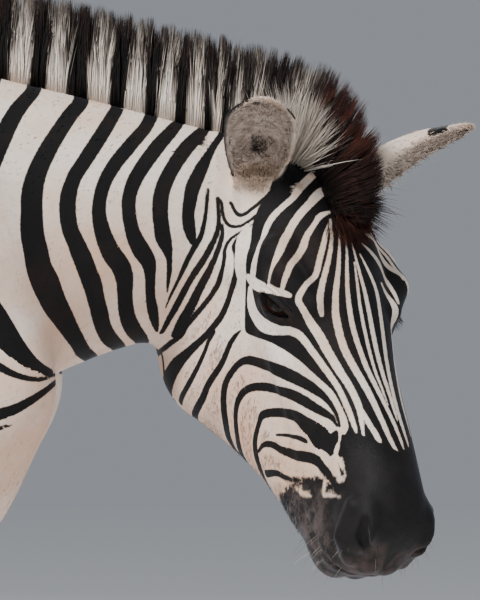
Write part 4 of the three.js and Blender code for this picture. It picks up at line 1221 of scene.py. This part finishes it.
def hairs(name, path, width, flat, side, mark, tint, uv, material):
    """Tapering strands joined in one piece. path: (count, rings, 3), each strand's points, the last its tip;
    width: (count, rings - 1), half-widths; side: (count, 3), the way each is broad; flat: thickness over
    breadth; mark: (count,), the stripe's value; tint: (count, rings); uv: (count, 2), where they stand."""
    count, rings = path.shape[:2]
    body = rings - 1
    along = np.gradient(path, axis=1)
    broad = unit(side[:, None] - along * ((side[:, None] * along).sum(-1, keepdims=True)
                                          / ((along ** 2).sum(-1, keepdims=True) + 1e-9)))
    thin = unit(np.cross(along, broad))
    points = np.empty((count, body * 3 + 1, 3))
    for k, (x, y) in enumerate(((1, -0.35), (-1, -0.35), (0, 0.9))):
        across = broad[:, :body] * (width * x)[..., None]
        through = thin[:, :body] * (width * flat * y)[..., None]
        points[:, k:body * 3:3] = path[:, :body] + across + through
    points[:, -1] = path[:, -1]
    faces = [(0, 1, 2)]
    for i in range(body - 1):
        for k in range(3):
            a, b = i * 3 + k, i * 3 + (k + 1) % 3
            faces += [(a, a + 3, b + 3), (a, b + 3, b)]
    faces += [(body * 3 - 3 + k, body * 3, body * 3 - 3 + (k + 1) % 3) for k in range(3)]
    faces = np.array(faces)
    n, f = points.shape[1], len(faces)
    m = bpy.data.meshes.new(name)
    m.vertices.add(count * n)
    m.vertices.foreach_set("co", in_frame(points).ravel())
    m.loops.add(count * f * 3)
    m.loops.foreach_set("vertex_index", (faces[None] + (np.arange(count) * n)[:, None, None]).ravel())
    m.polygons.add(count * f)
    m.polygons.foreach_set("loop_start", np.arange(count * f) * 3)
    m.update(calc_edges=True)
    m.validate()
    t = np.concatenate([np.repeat(np.linspace(0, 1, rings)[:body], 3), [1.0]])
    for key, value in (("luck", np.repeat(rng.random(count), n)), ("mark", np.repeat(mark, n))):
        paint(m, key, value)
    grade = np.concatenate([np.repeat(tint[:, :body], 3, axis=1), tint[:, -1:]], 1)   # tint: (count, rings)
    paint(m, "tint", grade.ravel())
    # the bake map: each tuft a small patch at its root's place on the unwrapped skin
    patch = np.zeros((n, 2))
    patch[:, 1] = t * PATCH
    for k, x in enumerate((PATCH, 0.0, PATCH / 2)):
        patch[k:body * 3:3, 0] = x
    patch[-1, 0] = PATCH / 2
    layer = m.uv_layers.new(name="OFBake")
    where = (uv[:, None] * 0.994 + patch[None])[:, faces.ravel()]
    layer.data.foreach_set("uv", where.reshape(-1, 2).ravel().astype(np.float32))
    o = show(name, m, material)
    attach(o, "root")
    return o


RUSTY = 24   # the mark of hair with rust-brown tips
STRAND = np.array([0, 0.36, 0.72, 1.0])   # the shares of a strand's length at which it has a ring
# The mane: spokes along the crest, from the withers round the poll to the forehead.
MANE = dict(tall=112, withers=62)
MANE_STEP = (MANE["tall"] - MANE["withers"]) / 4


def crest(x, lean, tall):
    """A spoke on the neck's crest: its root, its way and its height."""
    z = curve(np.array(float(x)), TRUNK, 1)
    return (x, float(neck_side(np.array(float(x)), z)), float(z)), (lean, 0, 1), tall


def brow(u, n, l, du, dn, tall):
    """A spoke on the forehead."""
    return tuple(from_face([u, n, l])), tuple(face_way([du, dn, 0])), tall


SPOKES = ([crest(-150, -0.6, 16), crest(-105, -0.35, MANE["withers"] * 0.62)]
          + [crest(-50 + 45 * i, -0.12 + 0.04 * i, MANE["withers"] + MANE_STEP * i) for i in range(5)]
          + [crest(175 + 45 * i, 0.06, MANE["tall"]) for i in range(7)]
          + [((490, 8, 1153), (0.2, -0.06, 1), MANE["tall"]),
             ((525, -1, 1140), (0.34, -0.24, 0.9), MANE["tall"] + 2),
             brow(0, 2, -4, -0.32, 1, 112), brow(22, 4, 0, -0.08, 1, 108), brow(46, 8, 0, 0.12, 1, 104),
             brow(66, 11, 0, 0.36, 1, 92), brow(80, 13, 0, 0.75, 1, 62)])
SPOKE_ROOT = np.array([s[0] for s in SPOKES], float)
SPOKE_WAY = unit(np.array([s[1] for s in SPOKES], float))
SPOKE_TALL = np.array([s[2] for s in SPOKES], float)
SPOKE_AT = np.concatenate([[0], np.cumsum(np.linalg.norm(np.diff(SPOKE_ROOT, axis=0), axis=1))])
SPOKE_SIDE = unit(np.cross(np.gradient(SPOKE_ROOT, axis=0), SPOKE_WAY))


def spoke(s):
    pick = lambda table: np.stack([np.interp(s, SPOKE_AT, table[:, k]) for k in range(3)], -1)
    tall = np.interp(s, SPOKE_AT, SPOKE_TALL)
    return pick(SPOKE_ROOT), unit(pick(SPOKE_WAY)), unit(pick(SPOKE_SIDE)), tall


def mane(name, first, last, count):
    s = first + (last - first) * rng.random(count)
    w = rng.uniform(-1, 1, count)
    # locks that lean together
    lock = np.floor(s / 9.0 + 0.6 * np.sin(w * 3)).astype(int) * 7 + np.floor((w + 1) * 2.5).astype(int)
    lock -= lock.min()
    lean = rng.normal(0, 1, (lock.max() + 1, 3))[lock]
    middle_s, middle_w, total = (np.bincount(lock, v) for v in (s, w, None))
    to_s, to_w = (middle_s / np.maximum(total, 1))[lock] - s, (middle_w / np.maximum(total, 1))[lock] - w
    root, way, side, tall = spoke(s)
    front = np.cross(way, side)
    size = np.clip(1 - 0.06 * np.abs(w) ** 3 - 0.05 * np.abs(lean[:, 2]) - rng.random(count) ** 3 * 0.35,
                   0.3, 1)
    t = STRAND
    up = -10 + (tall * size * (1 - 0.35 * np.abs(w) ** 2.2) + 10)[:, None] * t
    spread = np.interp(t, [0, 0.3, 0.6, 0.94, 1], [13, 18, 19, 11, 8])
    swing = t ** 1.6
    sway = to_w[:, None] * 8 + lean[:, :1] * 2.5 + rng.normal(0, 1.5, (count, 1))
    nod = to_s[:, None] * 0.75 + lean[:, 1:2] * 4 + rng.normal(0, 2.2, (count, 1))
    path = (root[:, None] + way[:, None] * up[..., None]
            + side[:, None] * (w[:, None] * spread + sway * swing)[..., None]
            + front[:, None] * (nod * swing)[..., None])
    width = np.outer(rng.uniform(0.42, 0.85, count), [1.0, 0.92, 0.62])
    rows = (s - first) / (last - first) * 4   # on the bake map the mane lies in four rows
    uv = np.stack([rows % 1, (np.floor(rows) + 0.5 + 0.48 * w) / 4], 1)
    # the neck's stripes run on into it; from the ears forwards only one white lock is left
    x = root[:, 0] + 0.15 * lean[:, 1]
    mark = np.min([np.abs(x - c) - v for c, v in MANE_WHITE], axis=0)
    far = ease((s - SPOKE_AT[15] + 8) / 14)
    mark = np.where(far > 0.5, RUSTY, mark)
    mark = mark + rng.normal(0, 1.0, count)
    big = np.exp(-((x - 515) / 26) ** 2)
    tip = 0.36 + 0.28 * rng.random(count) ** 0.8 + 0.08 * ease((330 - root[:, 0]) / 250)
    tip = tip - 0.06 * ease((root[:, 0] - 380) / 80) + 0.02 * big
    apart = np.min([np.abs(x - c) / v for c, v in MANE_WHITE], axis=0)   # the white bundles narrow upwards
    tip = np.where(mark > 0, 0.72, tip + 0.12 - 0.24 * apart ** 2)
    tint = ease((t[None] - tip[:, None]) / 0.26)
    red = np.clip(rng.normal(0.55, 0.3, count) + 0.25 * lean[:, 2], 0, 1)
    red *= 1 - 0.75 * ease((s - SPOKE_AT[17]) / 40)
    tint = np.where((far > 0.5)[:, None], red[:, None] * ease((t - 0.45) / 0.5)[None], tint)
    return hairs(name, path, width, 0.7, front, mark, tint, np.clip(uv, 0, 1), HAIR)


# The white bundles of the mane, where the neck's white bands reach it: each one's x and half-width.
MANE_WHITE = [(-130, 14), (-80, 13), (-24, 12), (32, 12), (76, 12), (129, 12), (191, 12), (234, 11),
              (284.5, 12), (327, 11), (364, 10), (398, 9.5), (423, 4.5), (445, 6.5), (466, 8), (510, 13)]
PIECES = np.linspace(0, SPOKE_AT[-1], 5)
strands = 8600
parts = [mane(f"mane_{i + 1}", PIECES[i], PIECES[i + 1], strands) for i in range(len(PIECES) - 1)]
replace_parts(parts[0], "mane")

# The tail's tuft.
HANG = np.array([(-1228, 790), (-1228, 760), (-1228, 725), (-1218, 670), (-1210, 600), (-1206, 530),
                 (-1204, 470), (-1203, 420), (-1202, 385)], float)
SWELL = np.array([15, 20, 30, 37, 40, 37, 27, 15, 6], float)


def tail_hair(count):
    turn, deep = rng.random(count) * 2 * math.pi, np.sqrt(rng.random(count))
    start, stop = rng.uniform(0, 0.35, count) ** 1.3, 1 - rng.random(count) ** 2 * 0.45
    rings = 7
    t = start[:, None] + (stop - start)[:, None] * np.linspace(0, 1, rings)
    index = t * (len(HANG) - 1)
    x = np.interp(index, range(len(HANG)), HANG[:, 0])
    z = np.interp(index, range(len(HANG)), HANG[:, 1])
    r = np.interp(index, range(len(HANG)), SWELL) * deep[:, None]
    r[:, 0] = np.minimum(r[:, 0], 16)
    a = turn[:, None] + 0.25 * np.sin(t * 7 + rng.random((count, 1)) * 6) * t
    path = np.stack([x + r * np.cos(a), r * 0.85 * np.sin(a), z], -1)
    width = np.outer(rng.uniform(0.9, 1.5, count), [0.7, 0.9, 1, 1, 0.9, 0.6])
    out = np.stack([-np.sin(turn), np.cos(turn), np.zeros(count)], 1)
    uv = np.stack([turn / (2 * math.pi), start / 0.36], 1)
    mark = np.where(start < 0.12, rng.normal(-1, 6, count), rng.normal(9, 5, count))
    tint = np.repeat(rng.random((count, 1)) * 0.3, rings, axis=1)
    return hairs("tail_tuft_hair", path, width, 0.6, out, mark, tint, np.clip(uv, 0, 1), HAIR)


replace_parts(tail_hair(3200), "tail_tuft")


# A white lock beside the near ear, and wisps of the forelock over the forehead.
def lock(name, count, root, way, spread, fan, long, mark, tint, curl):
    """Strands that leave a small patch, spread wide, and open by fan, both (sideways, forwards)."""
    root, way = np.asarray(root, float), unit(np.asarray(way, float))
    side = unit(np.cross(way, (0.1, 0.9, 0.2)))
    front = np.cross(side, way)
    a, b = rng.normal(0, 0.5, count), rng.normal(0, 0.5, count)
    start = root + side * (a * spread[0])[:, None] + front * (b * spread[1])[:, None] - way * 6
    to = unit(way + side * (a * fan[0])[:, None] + front * (b * fan[1])[:, None]
              + rng.normal(0, 0.035, (count, 3)))
    t = STRAND
    size = long * (1 - 0.5 * rng.random(count) ** 2)
    path = start[:, None] + to[:, None] * (size[:, None] * t)[..., None]
    path += (side * rng.normal(0, curl, (count, 1)))[:, None] * (t ** 2)[None, :, None]
    width = np.outer(rng.uniform(0.35, 0.75, count), [1, 0.9, 0.6])
    uv = np.stack([0.5 + 0.24 * a, 0.5 + 0.24 * b], 1)
    tone = np.clip(tint[0] + (tint[1] - tint[0]) * t[None] + rng.normal(0, 0.15, (count, 1)), 0, 1)
    return hairs(name, path, width, 0.7, front[None].repeat(count, 0), mark + rng.normal(0, 1.5, count),
                 tone, np.clip(uv, 0, 1), HAIR)


for side, word in ((-1, "right"), (1, "left")):
    base = from_face([-10, -4, 27 * side])
    lock(f"mane_white_{word}", 950, base, [0.5, 0.4 * side, 0.8], spread=(20, 12),
         fan=(0.95, 0.4), long=90 if side < 0 else 66, mark=-9, tint=(0.0, 0.4), curl=7)
lock("forelock_1", 1100, from_face([74, 7, 0]), face_way([0.94, 0.35, 0.0]),
     spread=(30, 12), fan=(0.55, 0.5), long=62, mark=RUSTY, tint=(-0.1, 0.6), curl=5)
lock("forelock_2", 600, from_face([84, 4, -3]), face_way([0.99, 0.12, -0.1]),
     spread=(34, 8), fan=(0.7, 0.25), long=52, mark=RUSTY, tint=(0.1, 0.9), curl=5)


# ------------------------------------------------------------------ the short coat
mesh.calc_loop_triangles()
TRI = np.empty(len(mesh.loop_triangles) * 3, int)
mesh.loop_triangles.foreach_get("vertices", TRI)
TRI = TRI.reshape(-1, 3)
A, B, C = P[TRI[:, 0]], P[TRI[:, 1]], P[TRI[:, 2]]
CROSS = np.cross(B - A, C - A)
AREA, OUT = np.linalg.norm(CROSS, axis=1) / 2, unit(CROSS)
MID = (A + B + C) / 3
MID_FACE = to_face(MID)
IN_HEAD = (MID[:, 0] > FACE_FROM) & (MID_FACE[:, 0] > 0)
TRI_MARK = MARK[TRI].mean(1)
TRI_CUP = CUP[TRI].mean(1)


def lie(p):
    """The way the coat lies: down and back over the body, down the face, down the legs."""
    way = np.tile([-0.8, 0.0, -0.5], (len(p), 1))
    way[:, 2] -= 1.2 * ease((760 - p[:, 2]) / 150)
    way[:, 0] += 0.75 * ease((760 - p[:, 2]) / 150) * (p[:, 0] < 330)
    q = to_face(p)
    head = ease((p[:, 0] - FACE_FROM) / 30) * ease(q[:, 0] / 40)
    down = np.stack([0.9 + 0 * q[:, 0], -0.1 - 0.4 * (np.abs(q[:, 2]) > 40), 0.1 * np.sign(q[:, 2])], -1)
    return way * (1 - head)[:, None] + face_way(down) * head[:, None]


def unwrap(p):
    """A point's place on the skin's flat pattern: barrel and neck, head, dock, legs and ears apart."""
    q = to_face(p)
    z = spine_z(p[:, 0])
    turn = np.arctan2(p[:, 1] - neck_side(p[:, 0], z), p[:, 2] - z) / (2 * math.pi) + 0.5
    uv = np.stack([0.64 * (p[:, 0] + 1200) / 1650, 0.9 * turn], 1)
    head = (p[:, 0] > FACE_FROM) & (q[:, 0] > -10)
    turn = np.arctan2(q[:, 2], q[:, 1] + 90) / (2 * math.pi) + 0.5
    uv[head] = np.stack([0.66 + 0.33 * (q[:, 0] + 10) / 510, 0.49 * turn], 1)[head]
    for i, (x, y) in enumerate(FEET):
        leg = (p[:, 2] < 700) & (np.abs(p[:, 0] - x) < 250) & (p[:, 1] * y > 0) & (p[:, 0] < 330) & ~head
        around = np.arctan2(p[:, 1] - y, p[:, 0] - x + 45) / (2 * math.pi) + 0.5
        uv[leg] = np.stack([0.66 + 0.33 * p[:, 2] / 700, 0.5 + 0.1 * i + 0.096 * around], 1)[leg]
    dock = (p[:, 0] < -1188) & (p[:, 2] < 1150)
    uv[dock] = np.stack([0.64 * (p[:, 2] - 740) / 420,
                         0.92 + 0.06 * (np.arctan2(p[:, 1], p[:, 0] + 1236) / (2 * math.pi) + 0.5)],
                         1)[dock]
    for i, side in enumerate((1, -1)):
        t, a, b = to_ear(p, side)
        k = (t > 0.12) & (t < 1.1) & (np.abs(a) < 60) & (np.abs(b) < 45)
        uv[k] = np.stack([0.66 + 0.16 * i + 0.15 * np.clip(t, 0, 1), 0.91 + 0.08 * (a / 100 + 0.5)], 1)[k]
    return np.clip(uv, 0, 1)


def tufts(name, count, weight, long, wide, rise, way=None, mark=None, bend=0.35):
    """Small flat tufts, rooted all over the skin as densely as `weight` says. long and wide are the size
    of a tuft, rise is how steeply it leaves the skin and bend how far it lies down again."""
    chance = AREA * weight
    pick = np.searchsorted(np.cumsum(chance) / chance.sum(), rng.random(count)).clip(0, len(AREA) - 1)
    r = np.sqrt(rng.random(count))[:, None]
    f = rng.random(count)[:, None]
    root = A[pick] * (1 - r) + B[pick] * r * (1 - f) + C[pick] * r * f
    out = OUT[pick]
    flow = (lie(root) if way is None else way(root)) + rng.normal(0, 0.16, (count, 3))
    flow = unit(flow - out * (flow * out).sum(1, keepdims=True))
    size = (long(root) if callable(long) else long) * rng.uniform(0.7, 1.25, count)
    lift = rise * rng.uniform(0.7, 1.3, count)
    t = np.array([0, 0.55, 1.0])
    lifted = (lift * size + 1.0)[:, None] * (t * (1 + bend) - bend * t ** 2)
    path = root[:, None] - out[:, None] + flow[:, None] * (size[:, None] * t)[..., None]
    path += out[:, None] * lifted[..., None]
    broad = np.cross(flow, out)
    breadth = wide * rng.uniform(0.8, 1.2, count)
    value = (TRI_MARK[pick] if mark is None else mark(pick)) + rng.normal(0, 0.5, count)
    tint = np.repeat(WARM[TRI[pick, 0]][:, None], 3, axis=1)
    return hairs(name, path, np.outer(breadth, [1.0, 0.75]), 0.3, broad, value, tint, unwrap(root), TUFT)


def tuft_material():
    n = Nodes("tufts")
    where = n.place()
    colour = coat_colour(n, where, n.attr("mark"), 1.2, 1.9, warm=n.attr("tint"))
    return n.finish(Base_Color=colour, Roughness=0.72, Specular_IOR_Level=0.2)


TUFT = tuft_material()
face_u = MID_FACE[:, 0]
turned_down = ease((-OUT[:, 2] - 0.2) / 0.5)
body = ~IN_HEAD
muzzle = IN_HEAD & (face_u > 385)
plain = TRI_CUP < 0.2
clear = ease((np.abs(TRI_MARK) - 3.5) / 1.5)   # few cross from one stripe into the next
all_over = body & plain & (MID[:, 2] > 95)
# more of them below and along the crest
ridges = 0.2 + 0.8 * turned_down * (MID[:, 0] < 60) + 0.8 * (MID[:, 2] > 1150)
tufts("coat_body_1", 14000, np.where(all_over, clear, 0), 7, 0.8, 0.12)
tufts("coat_body_2", 9500, np.where(all_over, ridges * clear, 0), 7.5, 0.8, 0.16)
face = IN_HEAD & plain & ~muzzle & (LID[TRI].mean(1) < 0.1)
tufts("coat_face", 11000, np.where(face, ease((np.abs(TRI_MARK) - 1.8) / 1.2), 0), 3.6, 0.45, 0.14)
# fringes: throat and jaw, belly, backs of the legs, fetlocks
jaw = IN_HEAD & (MID_FACE[:, 1] < -150) & (face_u < 400) & plain
tufts("coat_jaw", 3500, np.where(jaw, clear, 0), 8, 0.5, 0.22)
underline = body & (OUT[:, 2] < -0.55) & (MID[:, 2] > 600) & (MID[:, 0] < 60)
tufts("coat_belly", 5000, np.where(underline, clear, 0), 13, 0.9, 0.25)
fetlock = body & (MID[:, 2] < 190) & (MID[:, 2] > 75)
tufts("coat_fetlock", 3500, np.where(fetlock, 0.6 + 2.4 * (OUT[:, 0] < -0.3), 0),
      lambda p: 9 + 9 * ease((150 - p[:, 2]) / 60), 0.9, 0.22)
legs = body & (MID[:, 2] < 760) & (MID[:, 2] > 190)
behind = 0.5 + 1.5 * (OUT[:, 0] < -0.4)
tufts("coat_leg", 5500, np.where(legs, behind * ease((np.abs(TRI_MARK) - 2) / 1.5), 0), 7, 0.7, 0.18)


# Ears: pale hair that grows in from the rims across the opening, darker strands in the hollow as its painted
# shade, and a soft white edge.
def ear_way(p):
    way = np.zeros_like(p)
    for side in (1, -1):
        t, a, b = to_ear(p, side)
        _, out, front, across = ear_axes(side)
        k = (t > -0.2) & (t < 1.2) & (np.abs(a) < 80) & (np.abs(b) < 80)
        way[k] = out * 0.45 - across * np.clip(a[k], -40, 40)[:, None] / 34 + front * 0.75
    return way


def rim_way(p):
    """Into the opening, and up along the ear that the point is on."""
    left = (to_ear(p, 1)[0] > 0)[:, None] & (p[:, 1:2] > -20)
    return ear_way(p) * 0.5 + np.where(left, ear_axes(1)[1], ear_axes(-1)[1]) * 0.8


ear_t = np.full(len(MID), -9.0)
ear_rim = np.zeros(len(MID))
for side in (1, -1):
    t, a, b = to_ear(MID, side)
    w, h = curve(t, EAR_SHAPE, 1), curve(t, EAR_SHAPE, 2)
    k = (t > 0.1) & (t < 1.1) & (np.abs(a) < 60) & (np.abs(b) < 60)
    ear_t[k] = t[k]
    ear_rim[k] = np.exp(-((b[k] - 0.22 * h[k]) / 5) ** 2)
TRI_EAR_HOLLOW_SHADE = EAR_HOLLOW_SHADE[TRI].mean(1)
inside = (TRI_CUP > 0.6) & (ear_t > 0) & (ear_t < 0.9)
# dark strands: a few among the pale ones, and most of those deep in the hollow, where they are painted shade
tufts("coat_ear_inner", 4000, np.where(inside, 1.0 + 1.2 * (ear_t < 0.4), 0), 12, 0.34, 0.34, ear_way,
      lambda pick: np.where(rng.random(len(pick)) < 0.12 + 0.6 * (TRI_EAR_HOLLOW_SHADE[pick] > 0.4), 8, -8), bend=0.9)
edge = (ear_t > 0.1) & ((TRI_MARK < 1) | (ear_t > 0.8))
tufts("coat_ear_rim", 4500, np.where(edge, ear_rim, 0), 6.5, 0.4, 0.28, rim_way,
      lambda pick: np.where((TRI_MARK[pick] > 3) & (ear_t[pick] > 0.8), 6, -7))

# Whiskers on lips and chin, and lashes.
def bristles(name, spots, count, spread, long, thick, way, droop, mark):
    spots = np.asarray(spots, float)
    which = rng.integers(0, len(spots), count)
    q = spots[which] + rng.normal(0, 1, (count, 2)) * spread
    root = on_face(q)
    out = unit(slope(head_field, root))
    to = unit(out + face_way(np.asarray(way, float))[None] + rng.normal(0, 0.15, (count, 3)))
    size = long * rng.uniform(0.5, 1.2, count)
    t = np.array([0, 0.35, 0.7, 1.0])
    path = root[:, None] - out[:, None] * 1.5 + to[:, None] * (size[:, None] * t)[..., None]
    path[..., 2] -= droop * size[:, None] * t ** 2
    uv = unwrap(root)
    return hairs(name, path, np.outer(np.full(count, thick), [1, 0.8, 0.5]), 0.9, np.cross(to, out + 0.01),
                 np.full(count, float(mark)) + rng.normal(0, 2, count), np.full((count, 4), 0.1), uv, HAIR)




def both(spots):
    """Spots of the right side, then the same on the left."""
    return [(u, side * turn) for side in (1, -1) for u, turn in spots]


chin = [(440, -150), (455, -146), (468, -142), (430, -158), (420, -165), (448, -138), (474, -132)]
bristles("whiskers_chin", both(chin), 70, (10, 7), 22, 0.16, (0.2, -0.5, 0), 0.25, 1)
lip = [(470, -110), (478, -95), (482, -75), (462, -120), (486, -50)]
bristles("whiskers_lip", both(lip), 50, (6, 8), 15, 0.15, (0.5, -0.4, 0), 0.3, 3)


def lashes(side, count):
    x = rng.random(count)
    a = -20 + 42 * x
    upper = upper_lid(np.clip((a + 22) / 49, 0, 1))
    r = EYE["r"] + 3.4
    out = np.sqrt(np.maximum(r * r - a * a - upper * upper, 20))
    centre = np.array([EYE["u"], EYE["n"], EYE["l"]])
    spot = centre + a[:, None] * EYE_WAYS[0] + upper[:, None] * EYE_WAYS[1] + out[:, None] * EYE_WAYS[2]
    to = unit(EYE_WAYS[2] * 0.9 - EYE_WAYS[1] * 0.75 + EYE_WAYS[0] * (0.15 + (x - 0.5) * 0.6)[:, None]
              + rng.normal(0, 0.1, (count, 3)))
    size = rng.uniform(11, 17, count)
    t = np.array([0, 0.4, 0.75, 1.0])
    path = spot[:, None] + to[:, None] * (size[:, None] * t)[..., None]
    path = path + EYE_WAYS[1] * (2.5 * t ** 2)[None, :, None]
    flip = np.array([1, 1, side])
    path = from_face(path * flip)
    return hairs(f"lashes_{'left' if side > 0 else 'right'}", path,
                 np.outer(np.full(count, 0.34), [1, 0.8, 0.5]), 0.9,
                 face_way(EYE_WAYS[0] * flip)[None].repeat(count, 0),
                 np.full(count, 10.0), np.zeros((count, 4)), unwrap(from_face(spot * flip)), HAIR)


for side in (1, -1):
    lashes(side, 90)

floor = bpy.data.meshes.new("floor")
floor.from_pydata([(-9, -9, 0), (9, -9, 0), (9, 9, 0), (-9, 9, 0)], [], [(0, 1, 2, 3)])
ground = show("floor", floor, smooth=False)
world = bpy.data.worlds.new("world")
bpy.context.scene.world = world
world.use_nodes = True
world.node_tree.nodes["Background"].inputs[0].default_value = (0.75, 0.8, 0.88, 1)
world.node_tree.nodes["Background"].inputs[1].default_value = 0.36
for name, where, size, power in (("key", (-1.6, -3.0, 4.6), 1.6, 400), ("fill", (3.6, -4.4, 1.6), 3.5, 60),
                                 ("back", (1.0, 4.0, 3.6), 3.0, 150)):
    lamp = bpy.data.lights.new(name, "AREA")
    lamp.size, lamp.energy = size, power
    o = bpy.data.objects.new(name, lamp)
    COLLECTION.objects.link(o)
    o.location = where
    o.rotation_euler = (Vector((0.3, 0, 0.9)) - Vector(where)).to_track_quat("-Z", "Y").to_euler()
